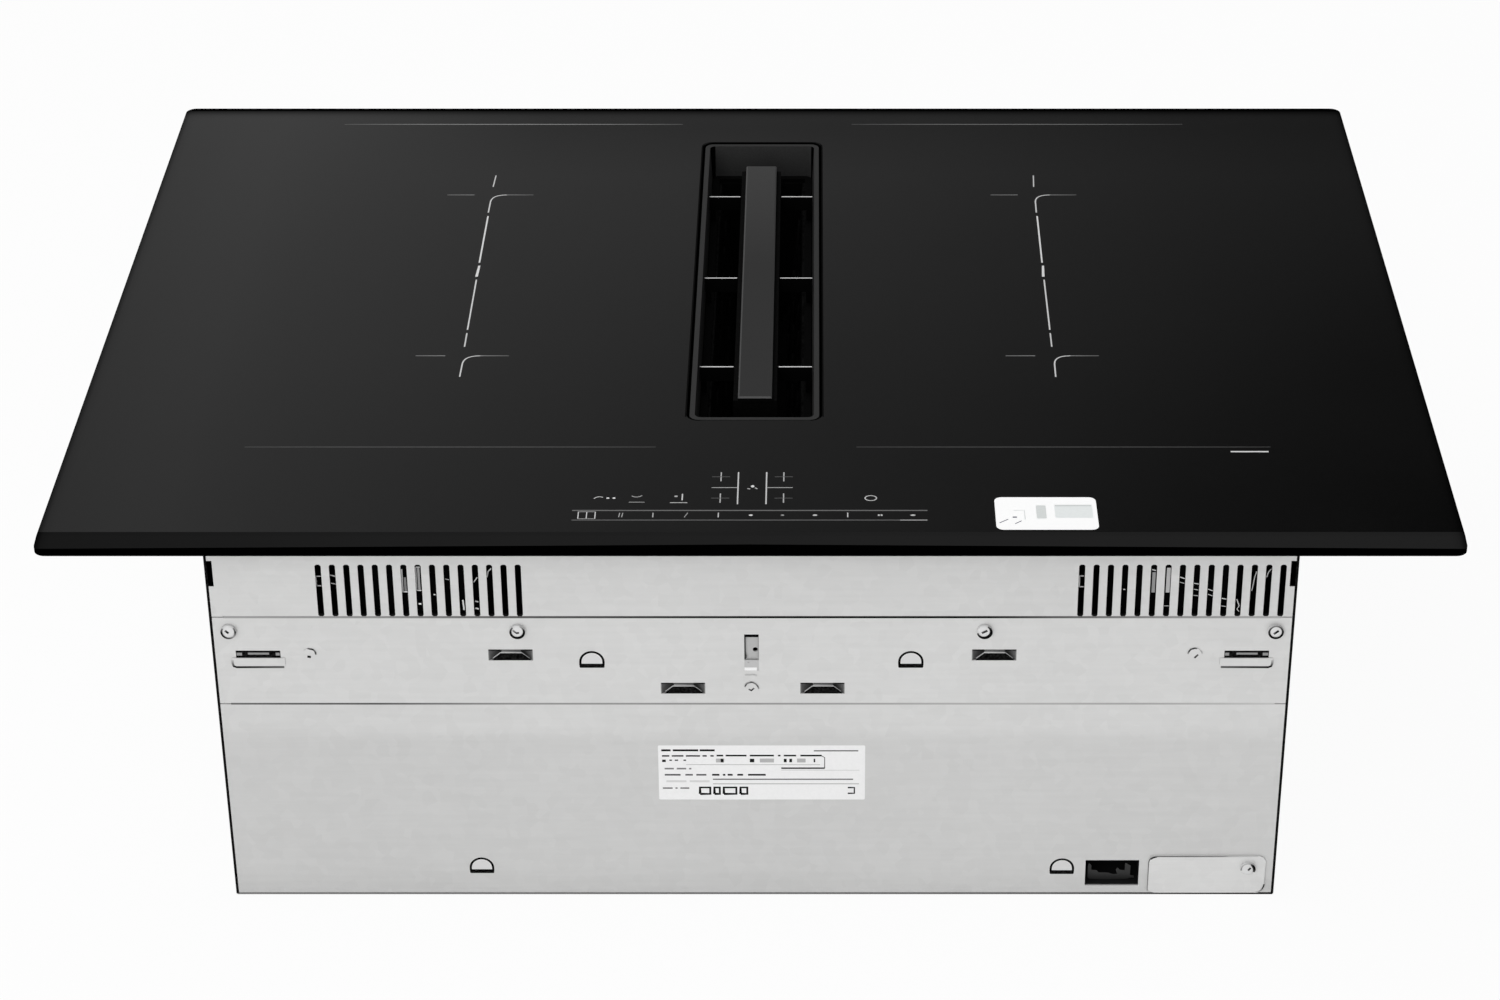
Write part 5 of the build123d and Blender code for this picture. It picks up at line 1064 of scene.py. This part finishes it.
def floor():
    bpy.ops.mesh.primitive_plane_add(size=30.0, location=(0, 0, -0.0002))
    ground = bpy.context.object
    ground.name = "floor"
    look = Look("floor", grey(0.93), 0.9, specular=0.1)
    paths = look.node("ShaderNodeLightPath")
    seen = look.math("MAXIMUM", paths.outputs["Is Camera Ray"], paths.outputs["Is Glossy Ray"])
    seen = look.math("MAXIMUM", seen, paths.outputs["Is Transmission Ray"])
    white = look.node("ShaderNodeEmission")
    white.inputs["Color"].default_value = (0.99, 0.99, 0.99, 1.0)
    mix = look.node("ShaderNodeMixShader")
    look.link(look.math("MULTIPLY", seen, 0.96), mix.inputs[0])
    look.link(look.bsdf.outputs["BSDF"], mix.inputs[1])
    look.link(white.outputs["Emission"], mix.inputs[2])
    look.link(mix.outputs["Shader"], look.tree.nodes["Material Output"].inputs["Surface"])
    ground.data.materials.append(look.mat)


REAR_WALL = (
    (0.28, 0.62), (0.315, 0.53), (0.33, 0.46), (0.36, 0.462), (0.39, 0.42), (0.42, 0.385),
    (0.45, 0.36), (0.49, 0.295), (0.53, 0.235), (0.56, 0.22), (0.6, 0.17), (0.64, 0.13),
    (0.68, 0.045), (0.72, 0.01),
)


def world():
    """A pale studio whose far wall falls from light grey at the left to dark at the right."""
    made = bpy.data.worlds.new("studio")
    bpy.context.scene.world = made
    made.use_nodes = True
    new, link = made.node_tree.nodes.new, made.node_tree.links.new
    background = made.node_tree.nodes["Background"]
    direction = new("ShaderNodeTexCoord").outputs["Generated"]

    def along(axis):
        dot = new("ShaderNodeVectorMath")
        dot.operation = "DOT_PRODUCT"
        dot.inputs[1].default_value = axis
        link(direction, dot.inputs[0])
        return dot.outputs["Value"]

    def ramp(fac, stops):
        filled = new("ShaderNodeValToRGB")
        fill_ramp(filled, stops)
        link(fac, filled.inputs["Fac"])
        return filled.outputs["Color"]

    halved = new("ShaderNodeMath")
    halved.operation = "MULTIPLY_ADD"
    halved.inputs[1].default_value = 0.5
    halved.inputs[2].default_value = 0.5
    link(along((-0.9, -0.25, 0.35)), halved.inputs[0])
    mix = new("ShaderNodeMix")
    mix.data_type = "RGBA"
    link(ramp(along((0.0, 1.0, 0.0)), ((0.35, 0.0), (0.7, 1.0))), mix.inputs[0])
    link(ramp(halved.outputs["Value"], ((0.0, (0.22, 0.22, 0.225)), (1.0, 1.0))), mix.inputs[6])
    link(ramp(along((1.0, 0.0, 1.1)), REAR_WALL), mix.inputs[7])
    link(mix.outputs[2], background.inputs["Color"])
    background.inputs["Strength"].default_value = 0.75


def lamp(name, place, target, size, power, mirrored=True):
    data = bpy.data.lights.new(name, "AREA")
    data.size = size
    data.energy = power
    made = bpy.data.objects.new(name, data)
    made.location = place
    made.visible_glossy = mirrored
    made.rotation_euler = (Vector(target) - Vector(place)).to_track_quat("-Z", "Y").to_euler()
    bpy.context.scene.collection.objects.link(made)


# in pixels of the photograph
FRAME_WIDTH = 1500.0
FOCAL_LENGTH = 3653.0
SIDE_SHIFT = -65.2

SENSOR = 36.0  # millimetres
EYE = (0.032, -1.801, 1.167)  # metres
DIP = 30.6  # degrees below level


def camera():
    data = bpy.data.cameras.new("camera")
    data.sensor_width = SENSOR
    data.lens = SENSOR * FOCAL_LENGTH / FRAME_WIDTH
    data.shift_x = SIDE_SHIFT / FRAME_WIDTH
    made = bpy.data.objects.new("camera", data)
    made.location = EYE
    made.rotation_euler = (math.radians(90.0 - DIP), 0.0, 0.0)
    bpy.context.scene.collection.objects.link(made)
    bpy.context.scene.camera = made


floor()
world()
lamp("front_softbox", (-0.6, -2.6, 1.3), (0.0, -0.2, 0.1), 2.2, 40.8, mirrored=False)
lamp("top_softbox", (-0.8, 0.3, 2.4), (0.0, 0.0, 0.1), 1.8, 16.0)
camera()

view = bpy.context.scene.view_settings
view.view_transform = "Standard"
